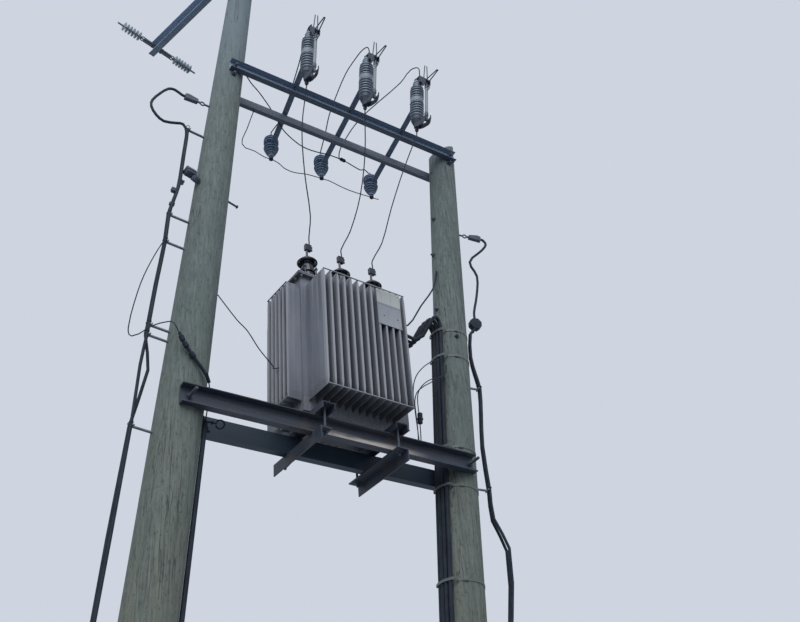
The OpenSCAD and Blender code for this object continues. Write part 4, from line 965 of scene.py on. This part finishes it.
far_end = [on_pole("right", height, 214, 0.012).translation for height in (5.90, 5.70)]
tall = wire_along([(2.102, -0.256, deck + 0.001), (2.080, -0.268, 5.30), (2.075, -0.270, 5.47),
                   (2.17, -0.255, 5.64), (2.34, -0.215, 5.80), far_end[0]])
short = wire_along([(2.122, -0.250, deck + 0.001), (2.128, -0.262, 5.20), (2.095, -0.268, 5.38),
                    (2.20, -0.250, 5.53), (2.34, -0.222, 5.64), far_end[1]])
sleeve = joined(prism(14, 0.0190, 0.085, 0.0, 0.004), prism(14, 0.0235, 0.014, 0.030, 0.003))
sleeve.data.transform(Matrix.Translation((2.125, -0.258, 5.150)) @ Matrix.Rotation(0.12, 4, "X"))
settle(joined(tall, short, sleeve), "loose_wires", "black_cable")

# %% [markdown]
# The set is a plain pale floor under the feet of the poles and an even, pale surround. Both show
# their own colour only to the camera and in reflections. For lighting the object, the surround is
# brighter overhead than at eye level and dim below, and the floor is a darker one: the camera looks
# up, and it is this that makes the undersides of the beams and fins dark.

# %% Floor
bpy.ops.mesh.primitive_plane_add(size=60, location=(1.1, 0, -0.002))
floor = bpy.context.object
floor.name = "floor"
ground = Finish("floor_paint")
seen, mirrored = (ground.node("LightPath", output=f"Is {kind} Ray") for kind in ("Camera", "Glossy"))
tone = ground.mix((seen + mirrored).held(), (0.10, 0.11, 0.11), (0.44, 0.47, 0.51))
floor.data.materials.append(ground.finish(tone, 0.9))

# %% Surround
class Surround(Finish):
    """The same way of adding nodes, for the world."""
    def __init__(self, world):
        world.use_nodes = True
        self.tree = world.node_tree
        self.tree.nodes.clear()
        self.place = Signal(self, self.tree.nodes.new("ShaderNodeTexCoord").outputs["Generated"])


bpy.context.scene.world = bpy.data.worlds.new("surround")
sky = Surround(bpy.context.scene.world)
glow = sky.ramp(sky.part("Z") * 0.5 + 0.5, (0.0, (0.07, 0.08, 0.09)), (0.46, (0.10, 0.11, 0.12)),
                (0.53, (0.74, 0.80, 0.88)), (1.0, (1.22, 1.30, 1.40)))
lit = sky.node("Background", None, {"Color": glow, "Strength": 1.0})
pale = sky.node("Background", None, {"Color": (0.62, 0.665, 0.745), "Strength": 1.0})
seen, mirrored, through = (sky.node("LightPath", output=f"Is {kind} Ray")
                           for kind in ("Camera", "Glossy", "Transmission"))
blend = sky.node("MixShader", None, {0: (seen + mirrored + through).held(), 1: lit, 2: pale})
out = sky.tree.nodes.new("ShaderNodeOutputWorld")
sky.tree.links.new(blend.socket, out.inputs["Surface"])
print("surround", len(sky.tree.nodes), "nodes")

# %% [markdown]
# One large lamp stands high behind the camera, to its left. It is wide enough that its shadows have
# no edge, and it gives the rounded timber and the fins a lighter and a darker side.

# %% Lamp
lamp = bpy.data.lights.new("soft_lamp", "AREA")
lamp.shape, lamp.size, lamp.size_y, lamp.energy = "RECTANGLE", 14.0, 10.0, 1400
lamp_object = bpy.data.objects.new("soft_lamp", lamp)
bpy.context.scene.collection.objects.link(lamp_object)
lamp_object.location = (-4.0, -9.0, 15.0)
towards = Vector((1.1, 0, 5.5)) - lamp_object.location
lamp_object.rotation_euler = towards.to_track_quat("-Z", "Y").to_euler()
bpy.context.scene.view_settings.view_transform = "Standard"
print("lamp", round(towards.length, 1), "m away")
